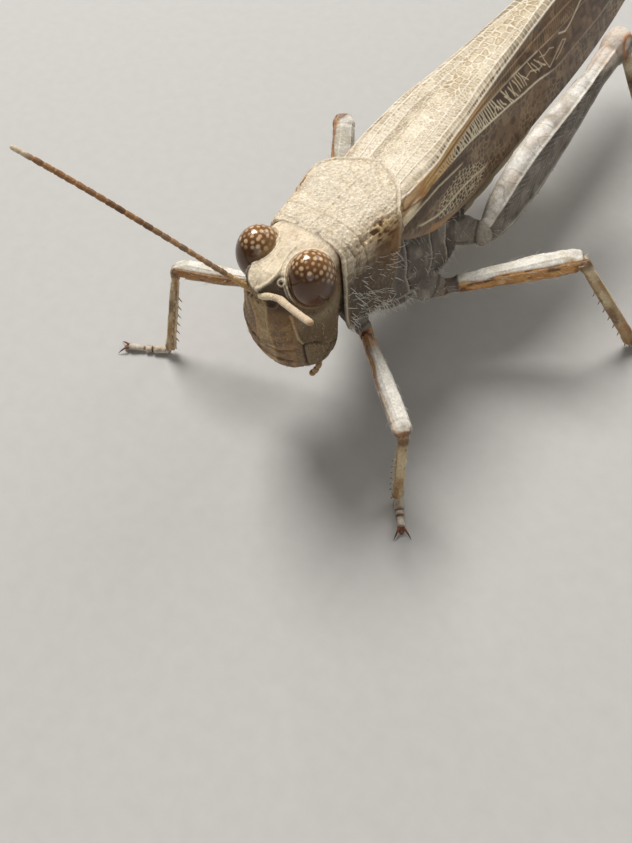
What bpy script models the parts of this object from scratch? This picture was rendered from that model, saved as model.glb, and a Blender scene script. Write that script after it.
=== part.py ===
"""A band-winged grasshopper (a locust of the family Acrididae), life size, standing still.

The animal looks along -Y, its left side is +X, and it stands on the plane Z = 0.  Sizes below are in
millimetres; the body's own datum is the top of the vertex (z = 0 in body sizes), on the mid plane, with
y counted rearwards from the tip of the fastigium.  Everything hangs from one empty, which carries the
body datum to its place over the floor.
"""
import math

import bmesh
import bpy
import numpy as np
from mathutils import Matrix, Vector

MM = 0.001
STAND_HEIGHT = 10.18         # vertex top above the floor
CENTRE_X, CENTRE_Y = 1.63, 14.64   # middle of the whole stance, in body sizes
GAP = 0.06                   # clearance between neighbouring plates

# ---- head
HEAD_REAR = 2.80             # the occiput meets the collar here
EYE_X, EYE_Y, EYE_Z = 1.30, 1.58, -0.64
EYE_RX, EYE_RY, EYE_RZ = 0.83, 0.93, 1.19
EYE_LEAN = math.radians(12)
# level, face, widest place, half width, squareness
HEAD_LEVELS = [
    (-0.06, 1.30, 2.10, 0.60, 2.0),
    (-0.20, 0.62, 2.05, 1.00, 2.0),
    (-0.42, 0.16, 1.95, 1.28, 2.0),
    (-0.62, 0.01, 1.90, 1.42, 2.0),
    (-1.00, 0.02, 1.85, 1.55, 2.1),
    (-1.80, 0.07, 1.80, 1.72, 2.2),
    (-2.70, 0.17, 1.75, 1.88, 2.3),
    (-3.50, 0.29, 1.75, 2.04, 2.3),
    (-4.20, 0.42, 1.72, 2.08, 2.3),
    (-4.90, 0.56, 1.70, 1.98, 2.3),
    (-5.60, 0.76, 1.66, 1.52, 2.2),
    (-6.06, 0.98, 1.64, 1.00, 2.0),
    (-6.20, 1.24, 1.62, 0.50, 2.0),
]
FACE_LEAN = -0.115           # the lower face swings a little to the animal's right
ANTENNA_BASE = (0.49, 0.20, -1.10)
ANTENNA_THICK = 0.50
LEFT_FEELER_TIP = (6.02, -3.92, 5.29)
RIGHT_FEELER_TIP = (-6.78, -3.32, 4.70)
FEELER_BOW = 0.20
PALP_THICK = 0.42

# ---- pronotum: y, top, half width at the shoulder line, half width at the lower edge
COLLAR_Y, APEX_Y, SHOULDER_Y, LOBE_REAR_Y = 2.86, 7.78, 6.02, 5.50
PRONOTUM_THICK = 0.34
PRONOTUM_SECTIONS = [
    (2.80, 0.02, 1.84, 1.74),
    (3.60, 0.10, 1.92, 1.84),
    (4.40, 0.06, 2.02, 1.98),
    (5.20, 0.12, 2.18, 2.18),
    (6.00, 0.12, 2.30, 2.34),
    (7.00, 0.02, 2.30, 2.38),
    (7.90, -0.12, 2.26, 2.38),
]
LOBE_FRONT_Z, LOBE_REAR_Z = -4.60, -4.58
DISC_Q, LOBE_Q, DISC_CROWN = 0.3, 0.7, 0.08

# ---- thorax: y, top, half width, belly, flatness of the belly
THORAX_SECTIONS = [
    (2.92, -0.62, 1.00, -3.70, 2.0),
    (3.30, -0.52, 1.16, -4.70, 2.0),
    (4.30, -0.56, 1.26, -5.30, 2.2),
    (5.30, -0.66, 1.72, -6.10, 2.4),
    (6.40, -1.14, 2.06, -6.70, 2.6),
    (8.00, -1.50, 2.20, -6.86, 2.6),
    (9.60, -1.56, 2.22, -6.86, 2.6),
    (11.0, -1.50, 2.02, -6.64, 2.5),
    (11.9, -1.46, 1.82, -6.40, 2.4),
]
# ---- abdomen: y, top, half width, belly
ABDOMEN_SECTIONS = [
    (12.0, -1.44, 1.80, -6.34),
    (14.0, -1.46, 1.84, -6.32),
    (17.0, -1.50, 1.80, -6.16),
    (20.0, -1.58, 1.64, -5.80),
    (23.0, -1.74, 1.36, -5.18),
    (25.2, -1.98, 1.02, -4.56),
    (26.6, -2.32, 0.68, -4.04),
    (27.6, -2.66, 0.30, -3.54),
]
# ---- tegmina: y, level of the flat top, half width at the bend, lower edge out, lower edge level
WING_ROOT_Y, WING_TIP_Y = 6.10, 33.4
WING_THICK = 0.50
WING_YAW = -0.048            # the folded wings lie a little to the animal's right
WING_SECTIONS = [
    (6.10, -0.60, 1.66, 2.04, -1.90),
    (7.00, -0.50, 1.78, 2.28, -2.35),
    (8.50, -0.26, 1.86, 2.48, -2.80),
    (11.0, -0.02, 1.72, 2.54, -3.12),
    (14.0, 0.12, 1.34, 2.50, -3.22),
    (18.0, 0.18, 1.06, 2.46, -3.26),
    (22.0, 0.14, 0.90, 2.34, -3.34),
    (26.0, -0.08, 0.76, 2.06, -3.30),
    (30.0, -0.52, 0.64, 1.62, -3.10),
    (32.2, -1.06, 0.58, 1.22, -2.76),
    (33.4, -1.76, 0.50, 0.78, -2.16),
]
HINDWING_THICK = 0.50

# ---- legs: hips, knees, ankles and toes
FORE_HIP = (2.13, 3.70, -5.00)
MID_HIP = (2.80, 8.40, -6.12)
HIND_HIP = (3.25, 11.05, -4.72)
HIND_HIP_RIGHT = (3.22, 11.05, -5.00)
FORE_LEFT = ((6.23, 0.51, -5.19), (6.17, 0.49, -9.76), (1.19, -1.38), 1.45)
FORE_RIGHT = ((7.03, 2.04, -5.39), (7.16, 0.64, -9.75), (2.32, -1.27), 2.15)
MID_LEFT = ((7.35, 12.22, -4.90), (10.22, 13.72, -9.74), (0.93, 0.37), 2.25)
MID_RIGHT = ((5.90, 13.05, -3.80), (5.40, 13.30, -9.71), (0.25, 0.97), 2.25)
HIND_LEFT = ((3.10, 22.57, -1.58), (9.10, 20.90, -9.72), (0.50, 0.866), 3.7)
HIND_RIGHT = ((3.15, 22.20, -4.60), (3.40, 13.60, -9.72), (0.20, -0.98), 3.5)
HIND_FEMUR_HEIGHT = 3.30
HIND_FEMUR_WIDTH = 1.42

SAND = (0.56, 0.45, 0.30)
DUST = (0.38, 0.33, 0.27)
FACE = (0.34, 0.26, 0.17)
PALE = (0.68, 0.62, 0.53)
GOLD = (0.42, 0.25, 0.10)
DARK_EYE = (0.10, 0.045, 0.02)


# ------------------------------------------------------------------ small tools
def along(table, t):
    """Row of sizes at t: a smooth curve through the table's rows that never overshoots them."""
    rows = np.array(table, float)
    x, v = rows[:, 0], rows[:, 1:]
    d = np.diff(v, axis=0) / np.diff(x)[:, None]
    m = np.zeros_like(v)
    m[0], m[-1] = d[0], d[-1]
    inner = (d[:-1] * d[1:]) > 0
    m[1:-1] = np.where(inner, 2 * d[:-1] * d[1:] / np.where(inner, d[:-1] + d[1:], 1), 0)
    t = min(max(t, x[0]), x[-1])
    i = min(int(np.searchsorted(x, t, "right")) - 1, len(x) - 2)
    h = x[i + 1] - x[i]
    s = (t - x[i]) / h
    return ((2 * s**3 - 3 * s**2 + 1) * v[i] + (s**3 - 2 * s**2 + s) * h * m[i]
            + (3 * s**2 - 2 * s**3) * v[i + 1] + (s**3 - s**2) * h * m[i + 1])


def power(c, e):
    """Signed power, for the superellipse sections."""
    return math.copysign(abs(c) ** e, c)


def steps(a, b, n):
    return [a + (b - a) * i / (n - 1) for i in range(n)]


def surface(name, colour, roughness):
    mat = bpy.data.materials.new("mat_" + name)
    mat.use_nodes = True
    shader = mat.node_tree.nodes["Principled BSDF"]
    shader.inputs["Base Color"].default_value = (*colour, 1)
    shader.inputs["Roughness"].default_value = roughness
    shader.inputs["Metallic"].default_value = 0.0
    mat.diffuse_color = (*colour, 1)
    return mat


BODY = bpy.data.objects


def put(name, bm, at, colour, roughness=0.6, mirrored=False):
    """Names the piece, sets its origin at its own joint, and hangs it from the body's datum."""
    if mirrored:
        bmesh.ops.scale(bm, vec=(-1, 1, 1), verts=bm.verts)
        at = (-at[0], at[1], at[2])
    bmesh.ops.translate(bm, vec=(-at[0], -at[1], -at[2]), verts=bm.verts)
    bmesh.ops.scale(bm, vec=(MM, MM, MM), verts=bm.verts)
    bmesh.ops.recalc_face_normals(bm, faces=bm.faces)
    mesh = bpy.data.meshes.new(name)
    bm.to_mesh(mesh)
    bm.free()
    mesh.shade_smooth()
    mesh.set_sharp_from_angle(angle=math.radians(50))
    obj = bpy.data.objects.new(name, mesh)
    bpy.context.scene.collection.objects.link(obj)
    obj.location = Vector(at) * MM
    obj.parent = DATUM
    obj.data.materials.append(surface(name, colour, roughness))
    return obj


def loft(rings, cap=True):
    """Joins rings of points into one closed skin."""
    bm = bmesh.new()
    loops = [[bm.verts.new(p) for p in ring] for ring in rings]
    n = len(loops[0])
    for a, b in zip(loops, loops[1:]):
        for i in range(n):
            bm.faces.new((a[i], a[(i + 1) % n], b[(i + 1) % n], b[i]))
    if cap:
        for loop in (loops[0], loops[-1]):
            face = bm.faces.new(loop)
            bmesh.ops.poke(bm, faces=[face])
    return bm


def limb(a, b, stations, side, sides=10, square=2.2, dome=True):
    """A leg segment from a to b. A station gives the share of the length, half height, half thickness
    and how far the middle rides towards the upper edge. Domes close both ends."""
    a, b = Vector(a), Vector(b)
    axis = (b - a).normalized()
    side = Vector(side)
    side = (side - axis * side.dot(axis)).normalized()
    up = side.cross(axis).normalized()
    if up.z < 0:
        up = -up
    rings = []
    length = (b - a).length
    rows = [(s[0] * length, *s[1:]) for s in stations]
    if dome:
        first, last = rows[0], rows[-1]
        rows = ([(first[0] - 0.75 * first[2] * k, first[1] * q, first[2] * q, first[3]) for k, q in ((1.0, 0.35), (0.62, 0.78))]
                + rows
                + [(last[0] + 0.75 * last[2] * k, last[1] * q, last[2] * q, last[3]) for k, q in ((0.62, 0.78), (1.0, 0.35))])
    for pos, high, thick, ride in rows:
        mid = a + axis * pos + up * ride
        rings.append([mid + up * high * power(math.sin(w), 2 / square) + side * thick * power(math.cos(w), 2 / square)
                      for w in (2 * math.pi * i / sides for i in range(sides))])
    return loft(rings)


def cut(obj, cutter_of, offset=GAP):
    """Cuts obj clear of a neighbour: the cutter is the neighbour's own skin, grown by the gap."""
    twin = cutter_of.data.copy()
    normals = [v.normal.copy() for v in twin.vertices]
    for v, nrm in zip(twin.vertices, normals):
        v.co += nrm * offset * MM
    cutter = bpy.data.objects.new("clear_" + cutter_of.name + "_" + obj.name, twin)
    bpy.context.scene.collection.objects.link(cutter)
    cutter.location = cutter_of.location
    cutter.parent = DATUM
    cutter.hide_render = True
    cutter.display_type = "WIRE"
    cutter.hide_viewport = False
    mod = obj.modifiers.new("clear_" + cutter_of.name, "BOOLEAN")
    mod.operation = "DIFFERENCE"
    mod.solver = "EXACT"
    mod.object = cutter
    return cutter


# ------------------------------------------------------------------ head
def head_shape():
    rings = []
    for z in [-0.06, -0.13, -0.24, -0.40, -0.62, -1.0, -1.6, -2.3, -3.0, -3.6, -4.2, -4.8, -5.35, -5.8, -6.08]:
        face, widest, half, square = along([(-r[0], *r[1:]) for r in HEAD_LEVELS], -z)
        rear = HEAD_REAR - 0.10 * max(0.0, -0.4 - z) / 3 - 0.75 * max(0.0, (-3.6 - z) / 2.2) ** 2
        ring = []
        for i in range(22):
            w = 2 * math.pi * i / 22
            c, s = math.cos(w), math.sin(w)
            reach = (widest - face) if s < 0 else (rear - widest)
            blunt = square if s < 0 else 2.7
            ring.append((half * power(c, 2 / blunt) + FACE_LEAN * max(0.0, -2.4 - z), widest + reach * power(s, 2 / (1.75 if s < 0 else 2.7)), z))
        rings.append(ring)
    return loft(rings)


def eye_shape(side):
    bm = bmesh.new()
    bmesh.ops.create_uvsphere(bm, u_segments=14, v_segments=9, radius=1)
    bmesh.ops.scale(bm, vec=(EYE_RX, EYE_RY, EYE_RZ), verts=bm.verts)
    bmesh.ops.rotate(bm, cent=(0, 0, 0), matrix=Matrix.Rotation(EYE_LEAN, 3, "X"), verts=bm.verts)
    bmesh.ops.translate(bm, vec=(side * EYE_X, EYE_Y, EYE_Z), verts=bm.verts)
    return bm


def feeler(name, tip, side):
    """The antenna: a thread of joints, straight with a light bow, on its scape."""
    curve = bpy.data.curves.new(name, "CURVE")
    curve.dimensions = "3D"
    curve.bevel_depth = ANTENNA_THICK / 2 * MM
    curve.bevel_resolution = 1
    curve.use_fill_caps = True
    spline = curve.splines.new("POLY")
    base, tip = Vector((side * ANTENNA_BASE[0], ANTENNA_BASE[1], ANTENNA_BASE[2])), Vector(tip)
    out = (tip - base).normalized()
    base = base + out * 0.30
    count = 9
    spline.points.add(count - 1)
    for i in range(count):
        t = i / (count - 1)
        p = base.lerp(tip, t) + Vector((0, 0, FEELER_BOW)) * math.sin(math.pi * t) * t
        spline.points[i].co = (*((p - base) * MM), 1)
        spline.points[i].radius = 1.0
    obj = bpy.data.objects.new(name, curve)
    bpy.context.scene.collection.objects.link(obj)
    obj.location = base * MM
    obj.parent = DATUM
    curve.materials.append(surface(name, GOLD, 0.55))
    return obj


def palp_shape():
    return limb((0.80, 2.02, -5.30), (1.02, 1.44, -6.44),
                [(0.10, PALP_THICK / 2, PALP_THICK / 2, 0), (0.5, PALP_THICK / 2 * 0.9, PALP_THICK / 2 * 0.9, 0.0),
                 (0.85, PALP_THICK / 2, PALP_THICK / 2, 0)], (1, 0, 0), sides=6, square=2)


# ------------------------------------------------------------------ pronotum
def saddle(y, q, inset=0.0):
    """A point of the pronotum's cross-section: q runs from 0 on the keel to 1 at the lower edge.
    The disc is nearly flat, the shoulder is a rounded corner, and the lobe hangs almost upright."""
    top, shoulder, lower = along(PRONOTUM_SECTIONS, y)
    edge = LOBE_FRONT_Z + (LOBE_REAR_Z - LOBE_FRONT_Z) * min(max((y - COLLAR_Y) / (LOBE_REAR_Y - COLLAR_Y), 0), 1)
    corner = 1.12 - 0.08 * (y - COLLAR_Y)
    if q <= DISC_Q:
        s = q / DISC_Q
        x, z = s * (shoulder - corner), top - DISC_CROWN * s * s
    elif q <= LOBE_Q:
        a = (q - DISC_Q) / (LOBE_Q - DISC_Q) * math.pi / 2
        x, z = shoulder - corner * (1 - math.sin(a)), top - DISC_CROWN - corner * (1 - math.cos(a))
    else:
        s = (q - LOBE_Q) / (1 - LOBE_Q)
        z0 = top - DISC_CROWN - corner
        x, z = shoulder + (lower - shoulder) * s**1.5 + 0.05 * math.sin(math.pi * s), z0 + (edge - z0) * s
    if inset:
        x1, z1 = saddle(y, max(q - 0.04, 0))
        x2, z2 = saddle(y, min(q + 0.04, 1))
        tx, tz = x2 - x1, z2 - z1
        n = math.hypot(tx, tz) or 1
        x, z = x + tz / n * inset, z - tx / n * inset
        x = max(x, 0.0)
        if q == 0:
            x, z = 0.0, top - inset
    return x, z


def pronotum_shape():
    rows = 10
    half = 10
    rings = []
    for r in range(rows):
        u = r / (rows - 1)
        outer, inner = [], []
        for k in range(-half, half + 1):
            q = abs(k) / half
            shoulder = min(q / 0.5, 1.0)
            rear = APEX_Y + (SHOULDER_Y - APEX_Y) * shoulder ** 1.25
            if q > 0.5:
                rear = SHOULDER_Y + (LOBE_REAR_Y - SHOULDER_Y) * ((q - 0.5) / 0.5) ** 0.8
                rear -= 0.35 * max(0.0, (q - 0.86) / 0.14) ** 2
            front = COLLAR_Y + 0.12 * q + 0.3 * max(0.0, (q - 0.86) / 0.14) ** 2
            y = front + (rear - front) * u
            x, z = saddle(y, q)
            outer.append((math.copysign(x, k) if k else 0.0, y, z))
            thick = PRONOTUM_THICK * (0.75 if u in (0, 1) else 1.0)
            xi, zi = saddle(y, q, thick)
            inner.append((math.copysign(xi, k) if k else 0.0, y, zi))
        rings.append(outer + inner[::-1])
    bm = bmesh.new()
    loops = [[bm.verts.new(p) for p in ring] for ring in rings]
    n = len(loops[0])
    for a, b in zip(loops, loops[1:]):
        for i in range(n):
            bm.faces.new((a[i], a[(i + 1) % n], b[(i + 1) % n], b[i]))
    m = n // 2
    for loop in (loops[0], loops[-1]):
        for i in range(m - 1):
            bm.faces.new((loop[i], loop[i + 1], loop[n - 2 - i], loop[n - 1 - i]))
    return bm


# ------------------------------------------------------------------ trunk
def barrel(table, ys, sides, upper=2.1, taper_top=0.86):
    rings = []
    for y in ys:
        row = along(table, y)
        top, half, belly = row[:3]
        flat = row[3] if len(row) > 3 else 2.1
        mid = belly + (top - belly) * 0.36
        ring = []
        for i in range(sides):
            w = 2 * math.pi * (i + 0.5) / sides
            c, s = math.cos(w), math.sin(w)
            x = half * power(c, 2 / (upper if s > 0 else flat))
            z = mid + ((top - mid) if s > 0 else (mid - belly)) * power(s, 2 / (upper if s > 0 else flat))
            if s > 0:
                x *= 1 - (1 - taper_top) * s
            ring.append((x + WING_YAW * max(0.0, y - 8), y, z))
        rings.append(ring)
    return loft(rings)


# ------------------------------------------------------------------ wings
def bent(level, bend, corner, low_x, low_z):
    """A line that runs flat from the mid line, turns down round a corner and goes straight to the lower edge."""
    pts = [(GAP / 2, level), (bend - corner, level - 0.02)]
    for a in steps(0, 1, 5)[1:]:
        w = a * math.pi / 2 * 0.86
        pts.append((bend - corner + corner * math.sin(w), level - 0.02 - corner * (1 - math.cos(w))))
    x0, z0 = pts[-1]
    for a in (0.33, 0.66, 1.0):
        pts.append((x0 + (low_x - x0) * a ** 0.8, z0 + (low_z - z0) * a))
    return pts


def wing_profile(y):
    """Outer and inner outline of the left folded fore wing at y, from the mid line to the lower edge."""
    top, bend, low_x, low_z = along(WING_SECTIONS, y)
    corner = min(0.55, bend * 0.55)
    thick = min(WING_THICK, 0.45 * (top - low_z))
    inner_bend = max(bend - thick, GAP / 2 + 0.14)
    inner_corner = min(max(corner - thick, 0.10), 0.6 * (inner_bend - GAP / 2))
    return bent(top, bend, corner, low_x, low_z), bent(top - thick, inner_bend, inner_corner, low_x - thick, low_z + 0.06)


def wing_shape():
    ys = [6.10, 6.8, 7.8, 9.2, 11, 13.5, 16, 18.5, 21, 23.5, 26, 28.3, 30.4, 31.9, 32.8, 33.4]
    rings = []
    for y in ys:
        outer, inner = wing_profile(y)
        shift = WING_YAW * max(0.0, y - 8)
        rings.append([(x, y, z) for x, z in outer + inner[::-1]])
    bm = bmesh.new()
    loops = [[bm.verts.new(p) for p in ring] for ring in rings]
    n = len(loops[0])
    for a, b in zip(loops, loops[1:]):
        for i in range(n):
            bm.faces.new((a[i], a[(i + 1) % n], b[(i + 1) % n], b[i]))
    m = n // 2
    for loop in (loops[0], loops[-1]):
        for i in range(m - 1):
            bm.faces.new((loop[i], loop[i + 1], loop[n - 2 - i], loop[n - 1 - i]))
    return bm


def yaw(bm):
    for v in bm.verts:
        v.co.x += WING_YAW * max(0.0, v.co.y - 8)
    return bm


def hindwing_shape():
    rings = []
    for y in [9.0, 12, 15, 18, 21, 24, 26.5, 29.0]:
        top, bend, low_x, low_z = along(WING_SECTIONS, y)
        t = top - WING_THICK - GAP
        inner = bend - WING_THICK - 0.12
        fan = max(inner, 0.08)
        h = HINDWING_THICK if y < 24 else HINDWING_THICK + 0.10 * (y - 24)
        h = min(h, 0.9)
        ring = [(GAP / 2, t), (fan * 0.6, t - 0.02), (fan, t - 0.14), (fan, t - h), (fan * 0.5, t - h - 0.02), (GAP / 2, t - h)]
        rings.append([(x, y, z) for x, z in ring])
    return loft(rings)


# ------------------------------------------------------------------ legs
def femur(hip, knee, girth, knee_girth):
    return limb(hip, knee, [(0.07, girth * 0.74, girth * 0.70, 0), (0.22, girth * 0.95, girth * 0.84, 0), (0.5, girth, girth * 0.84, 0.02),
                            (0.80, girth * 0.82, girth * 0.74, 0.02), (0.93, knee_girth * 0.98, knee_girth * 0.86, 0.0), (0.985, knee_girth, knee_girth * 0.86, 0.0)],
                (0, 0, 1) if abs((Vector(knee) - Vector(hip)).normalized().z) < 0.9 else (1, 0, 0), sides=10, square=2.3)


def hind_femur(hip, knee):
    h = HIND_FEMUR_HEIGHT / 2
    w = HIND_FEMUR_WIDTH / 2
    return limb(hip, knee, [(0.03, h * 0.46, w * 0.62, -0.10), (0.09, h * 0.74, w * 0.82, -0.06), (0.18, h * 0.94, w * 0.94, 0.0), (0.28, h, w, 0.02),
                            (0.40, h * 0.92, w, 0.03), (0.54, h * 0.71, w * 0.93, 0.04), (0.68, h * 0.52, w * 0.80, 0.03),
                            (0.80, h * 0.40, w * 0.68, 0.03), (0.88, h * 0.40, w * 0.72, 0.02), (0.95, h * 0.48, w * 0.88, 0.0), (0.99, h * 0.46, w * 0.84, 0.0)],
                (1, 0, 0), sides=12, square=2.5)


def tibia(knee, ankle, girth, start, flare=1.12):
    a, b = Vector(knee), Vector(ankle)
    run = (b - a).length
    side = Vector((0, 1, 0)) if abs((b - a).normalized().y) < 0.9 else Vector((1, 0, 0))
    return limb(a, b, [(start / run, girth * 0.92, girth * 0.9, 0), (0.18, girth, girth, 0), (0.5, girth * 0.94, girth * 0.94, 0),
                       (0.85, girth * 0.98, girth * 0.98, 0), (1.0, girth * flare, girth * flare, 0)], side, sides=8, square=2.1, dome=True)


def tarsus(ankle, heading, length, girth):
    """The foot: three pads in a row that lie flat on the floor, and a pair of claws."""
    d = Vector((heading[0], heading[1], 0)).normalized()
    across = Vector((-d.y, d.x, 0))
    floor = -STAND_HEIGHT
    start = Vector((ankle[0], ankle[1], floor)) + d * 0.16
    rows = [(0.00, 0.62, 0.80), (0.08, 0.92, 1.0), (0.30, 0.98, 0.92), (0.37, 0.78, 0.80), (0.42, 0.94, 0.88), (0.56, 0.94, 0.82), (0.62, 0.74, 0.74),
            (0.70, 0.70, 0.76), (0.90, 0.86, 0.86), (1.0, 0.96, 0.72)]
    rings = []
    for t, wide, high in rows:
        c = start + d * length * t
        w, h = girth * wide, 2 * girth * high
        lift = 0.0 if 0.04 < t < 0.95 else 0.06
        ring = [(-0.72 * w, lift), (0.0, lift), (0.72 * w, lift), (w, lift + 0.24 * h), (0.86 * w, 0.72 * h), (0.42 * w, h), (-0.42 * w, h), (-0.86 * w, 0.72 * h), (-w, lift + 0.24 * h)]
        rings.append([c + across * x + Vector((0, 0, z)) for x, z in ring])
    bm = bmesh.new()
    loops = [[bm.verts.new(p) for p in ring] for ring in rings]
    n = len(loops[0])
    for a, b in zip(loops, loops[1:]):
        for i in range(n):
            bm.faces.new((a[i], a[(i + 1) % n], b[(i + 1) % n], b[i]))
    bmesh.ops.poke(bm, faces=[bm.faces.new(loops[0])])
    e = loops[-1]
    pads = [bm.faces.new((e[0], e[1], e[6], e[7], e[8])), bm.faces.new((e[1], e[2], e[3], e[4], e[5])), bm.faces.new((e[1], e[5], e[6]))]
    bmesh.ops.recalc_face_normals(bm, faces=bm.faces)
    for face, sgn in ((pads[0], -1), (pads[1], 1)):
        new = bmesh.ops.extrude_face_region(bm, geom=[face])
        verts = [v for v in new["geom"] if isinstance(v, bmesh.types.BMVert)]
        bmesh.ops.delete(bm, geom=[face], context="FACES_ONLY")
        centre = sum((v.co for v in verts), Vector()) / len(verts)
        for v in verts:
            v.co = centre + (v.co - centre) * 0.55 + d * girth * 1.5 + across * sgn * girth * 0.55
            v.co.z = max(v.co.z - 0.02, floor + 0.02)
    return bm


def coxa_shape(inner, outer, girth):
    return limb(inner, outer, [(0.1, girth, girth, 0), (0.55, girth * 0.98, girth * 0.94, 0), (0.90, girth * 0.74, girth * 0.70, 0)], (0, 1, 0), sides=10, square=2.1)


def toward(a, b, r):
    a, b = Vector(a), Vector(b)
    return a + (b - a).normalized() * r


# ------------------------------------------------------------------ build
for old in list(bpy.data.objects):
    bpy.data.objects.remove(old, do_unlink=True)

DATUM = bpy.data.objects.new("body_datum", None)
bpy.context.scene.collection.objects.link(DATUM)
DATUM.location = (-CENTRE_X * MM, -CENTRE_Y * MM, STAND_HEIGHT * MM)

head = put("head", head_shape(), (0, 2.0, -2.0), FACE)
eyes = {}
for side, word in ((1, "left"), (-1, "right")):
    eyes[word] = put("eye_" + word, eye_shape(side), (side * EYE_X, EYE_Y, EYE_Z), DARK_EYE, 0.15)
    cut(head, eyes[word])
feeler("antenna_left", LEFT_FEELER_TIP, 1)
feeler("antenna_right", RIGHT_FEELER_TIP, -1)
for word, flip in (("left", False), ("right", True)):
    cut(put("palp_" + word, palp_shape(), (0.80, 2.02, -5.30), PALE, 0.5, mirrored=flip), head)

pronotum = put("pronotum", pronotum_shape(), (0, 5.0, -1.0), SAND)
thorax = put("thorax", barrel(THORAX_SECTIONS, [2.92, 3.3, 4.3, 5.3, 6.4, 8.0, 9.6, 11.0, 11.9], 20), (0, 7.5, -3.5), DUST)
put("abdomen", barrel(ABDOMEN_SECTIONS, [11.97, 14, 16.5, 19, 21.5, 23.5, 25.2, 26.6, 27.6], 16), (0, 12.0, -3.5), DUST)

for word, flip in (("left", False), ("right", True)):
    s = -1 if flip else 1
    bm = wing_shape()
    if flip:
        bmesh.ops.scale(bm, vec=(-1, 1, 1), verts=bm.verts)
    put("tegmen_" + word, yaw(bm), (s * 1.0, WING_ROOT_Y, -1.0), SAND, 0.55)
    bm = hindwing_shape()
    if flip:
        bmesh.ops.scale(bm, vec=(-1, 1, 1), verts=bm.verts)
    put("hindwing_" + word, yaw(bm), (s * 0.6, 9.0, -1.2), PALE, 0.4)

LEGS = [
    ("fore_left", FORE_HIP, FORE_LEFT, False, 0.40, 0.36, 0.26),
    ("fore_right", FORE_HIP, FORE_RIGHT, True, 0.40, 0.36, 0.26),
    ("mid_left", MID_HIP, MID_LEFT, False, 0.52, 0.45, 0.30),
    ("mid_right", MID_HIP, MID_RIGHT, True, 0.52, 0.45, 0.30),
    ("hind_left", HIND_HIP, HIND_LEFT, False, 0, 0.50, 0.30),
    ("hind_right", HIND_HIP_RIGHT, HIND_RIGHT, True, 0, 0.50, 0.30),
]
ROOTS = {"fore": ((1.05, 3.85, -4.10), 0.72), "mid": ((1.65, 7.75, -5.75), 0.90), "hind": ((1.70, 10.60, -4.90), 0.84)}
for leg, hip, (knee, ankle, heading, length), flip, girth, knob, shin in LEGS:
    kind = leg.split("_")[0]
    root, stub = ROOTS[kind]
    coxa = put(leg + "_coxa", coxa_shape(root, hip, stub), root, DUST, 0.6, mirrored=flip)
    cut(coxa, thorax)
    if kind == "fore":
        cut(coxa, pronotum)
    thigh = put(leg + "_femur", hind_femur(hip, knee) if kind == "hind" else femur(hip, knee, girth, knob), hip, PALE, 0.5, mirrored=flip)
    cut(coxa, thigh)
    if kind == "hind":
        cut(thigh, thorax)
    shank = put(leg + "_tibia", tibia(knee, ankle, shin, 0.30 if kind != "hind" else 0.34), knee, GOLD, 0.5, mirrored=flip)
    cut(shank, thigh)
    foot = put(leg + "_tarsus", tarsus(ankle, heading, length, 0.27), ankle, GOLD, 0.5, mirrored=flip)
    cut(foot, shank)
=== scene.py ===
"""Looks of the locust: every shell plate, wing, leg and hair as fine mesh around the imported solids.

Sizes inside are millimetres in the body's own system (x to the animal's left, y rearwards from the tip of the
brow, z up from the top of the head), and `place` turns them into the model's frame in metres.
"""

import math

import bpy
import numpy as np
from mathutils import Matrix, Vector


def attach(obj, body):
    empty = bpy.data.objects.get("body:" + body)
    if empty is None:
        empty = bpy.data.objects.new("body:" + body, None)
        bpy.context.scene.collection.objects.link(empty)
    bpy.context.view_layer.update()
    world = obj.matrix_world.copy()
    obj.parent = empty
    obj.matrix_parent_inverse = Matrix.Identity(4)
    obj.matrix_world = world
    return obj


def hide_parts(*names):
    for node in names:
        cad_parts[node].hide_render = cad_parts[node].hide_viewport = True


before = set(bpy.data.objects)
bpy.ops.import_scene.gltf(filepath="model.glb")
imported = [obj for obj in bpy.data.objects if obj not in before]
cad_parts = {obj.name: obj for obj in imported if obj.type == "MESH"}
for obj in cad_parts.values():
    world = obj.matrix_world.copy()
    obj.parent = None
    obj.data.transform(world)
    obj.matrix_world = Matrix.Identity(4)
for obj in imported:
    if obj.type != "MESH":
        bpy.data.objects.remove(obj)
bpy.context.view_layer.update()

# ================================================================== geometry (numpy only)
STAND_HEIGHT = 10.18
CENTRE_X, CENTRE_Y = 1.63, 14.64
WING_YAW, YAW_FROM = -0.048, 8.0


def place(p):
    p = np.asarray(p, float)
    return (p + np.array([-CENTRE_X, -CENTRE_Y, STAND_HEIGHT])) * 0.001


def along(table, t):
    """Smooth curve through the rows of a table that never overshoots them; t may be an array."""
    rows = np.array(table, float)
    x, v = rows[:, 0], rows[:, 1:]
    d = np.diff(v, axis=0) / np.diff(x)[:, None]
    m = np.zeros_like(v)
    m[0], m[-1] = d[0], d[-1]
    same = (d[:-1] * d[1:]) > 0
    m[1:-1] = np.where(same, 2 * d[:-1] * d[1:] / np.where(same, d[:-1] + d[1:], 1), 0)
    t = np.clip(np.asarray(t, float), x[0], x[-1])
    i = np.clip(np.searchsorted(x, t, "right") - 1, 0, len(x) - 2)
    h = (x[i + 1] - x[i])[..., None]
    s = (t - x[i])[..., None] / h
    return ((2 * s**3 - 3 * s**2 + 1) * v[i] + (s**3 - 2 * s**2 + s) * h * m[i]
            + (3 * s**2 - 2 * s**3) * v[i + 1] + (s**3 - s**2) * h * m[i + 1])


def spow(c, e):
    return np.sign(c) * np.abs(c) ** e


def smooth(a, b, x):
    t = np.clip((np.asarray(x, float) - a) / (b - a), 0, 1)
    return t * t * (3 - 2 * t)


def bell(d, w):
    return np.exp(-(d / w) ** 2)


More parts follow.
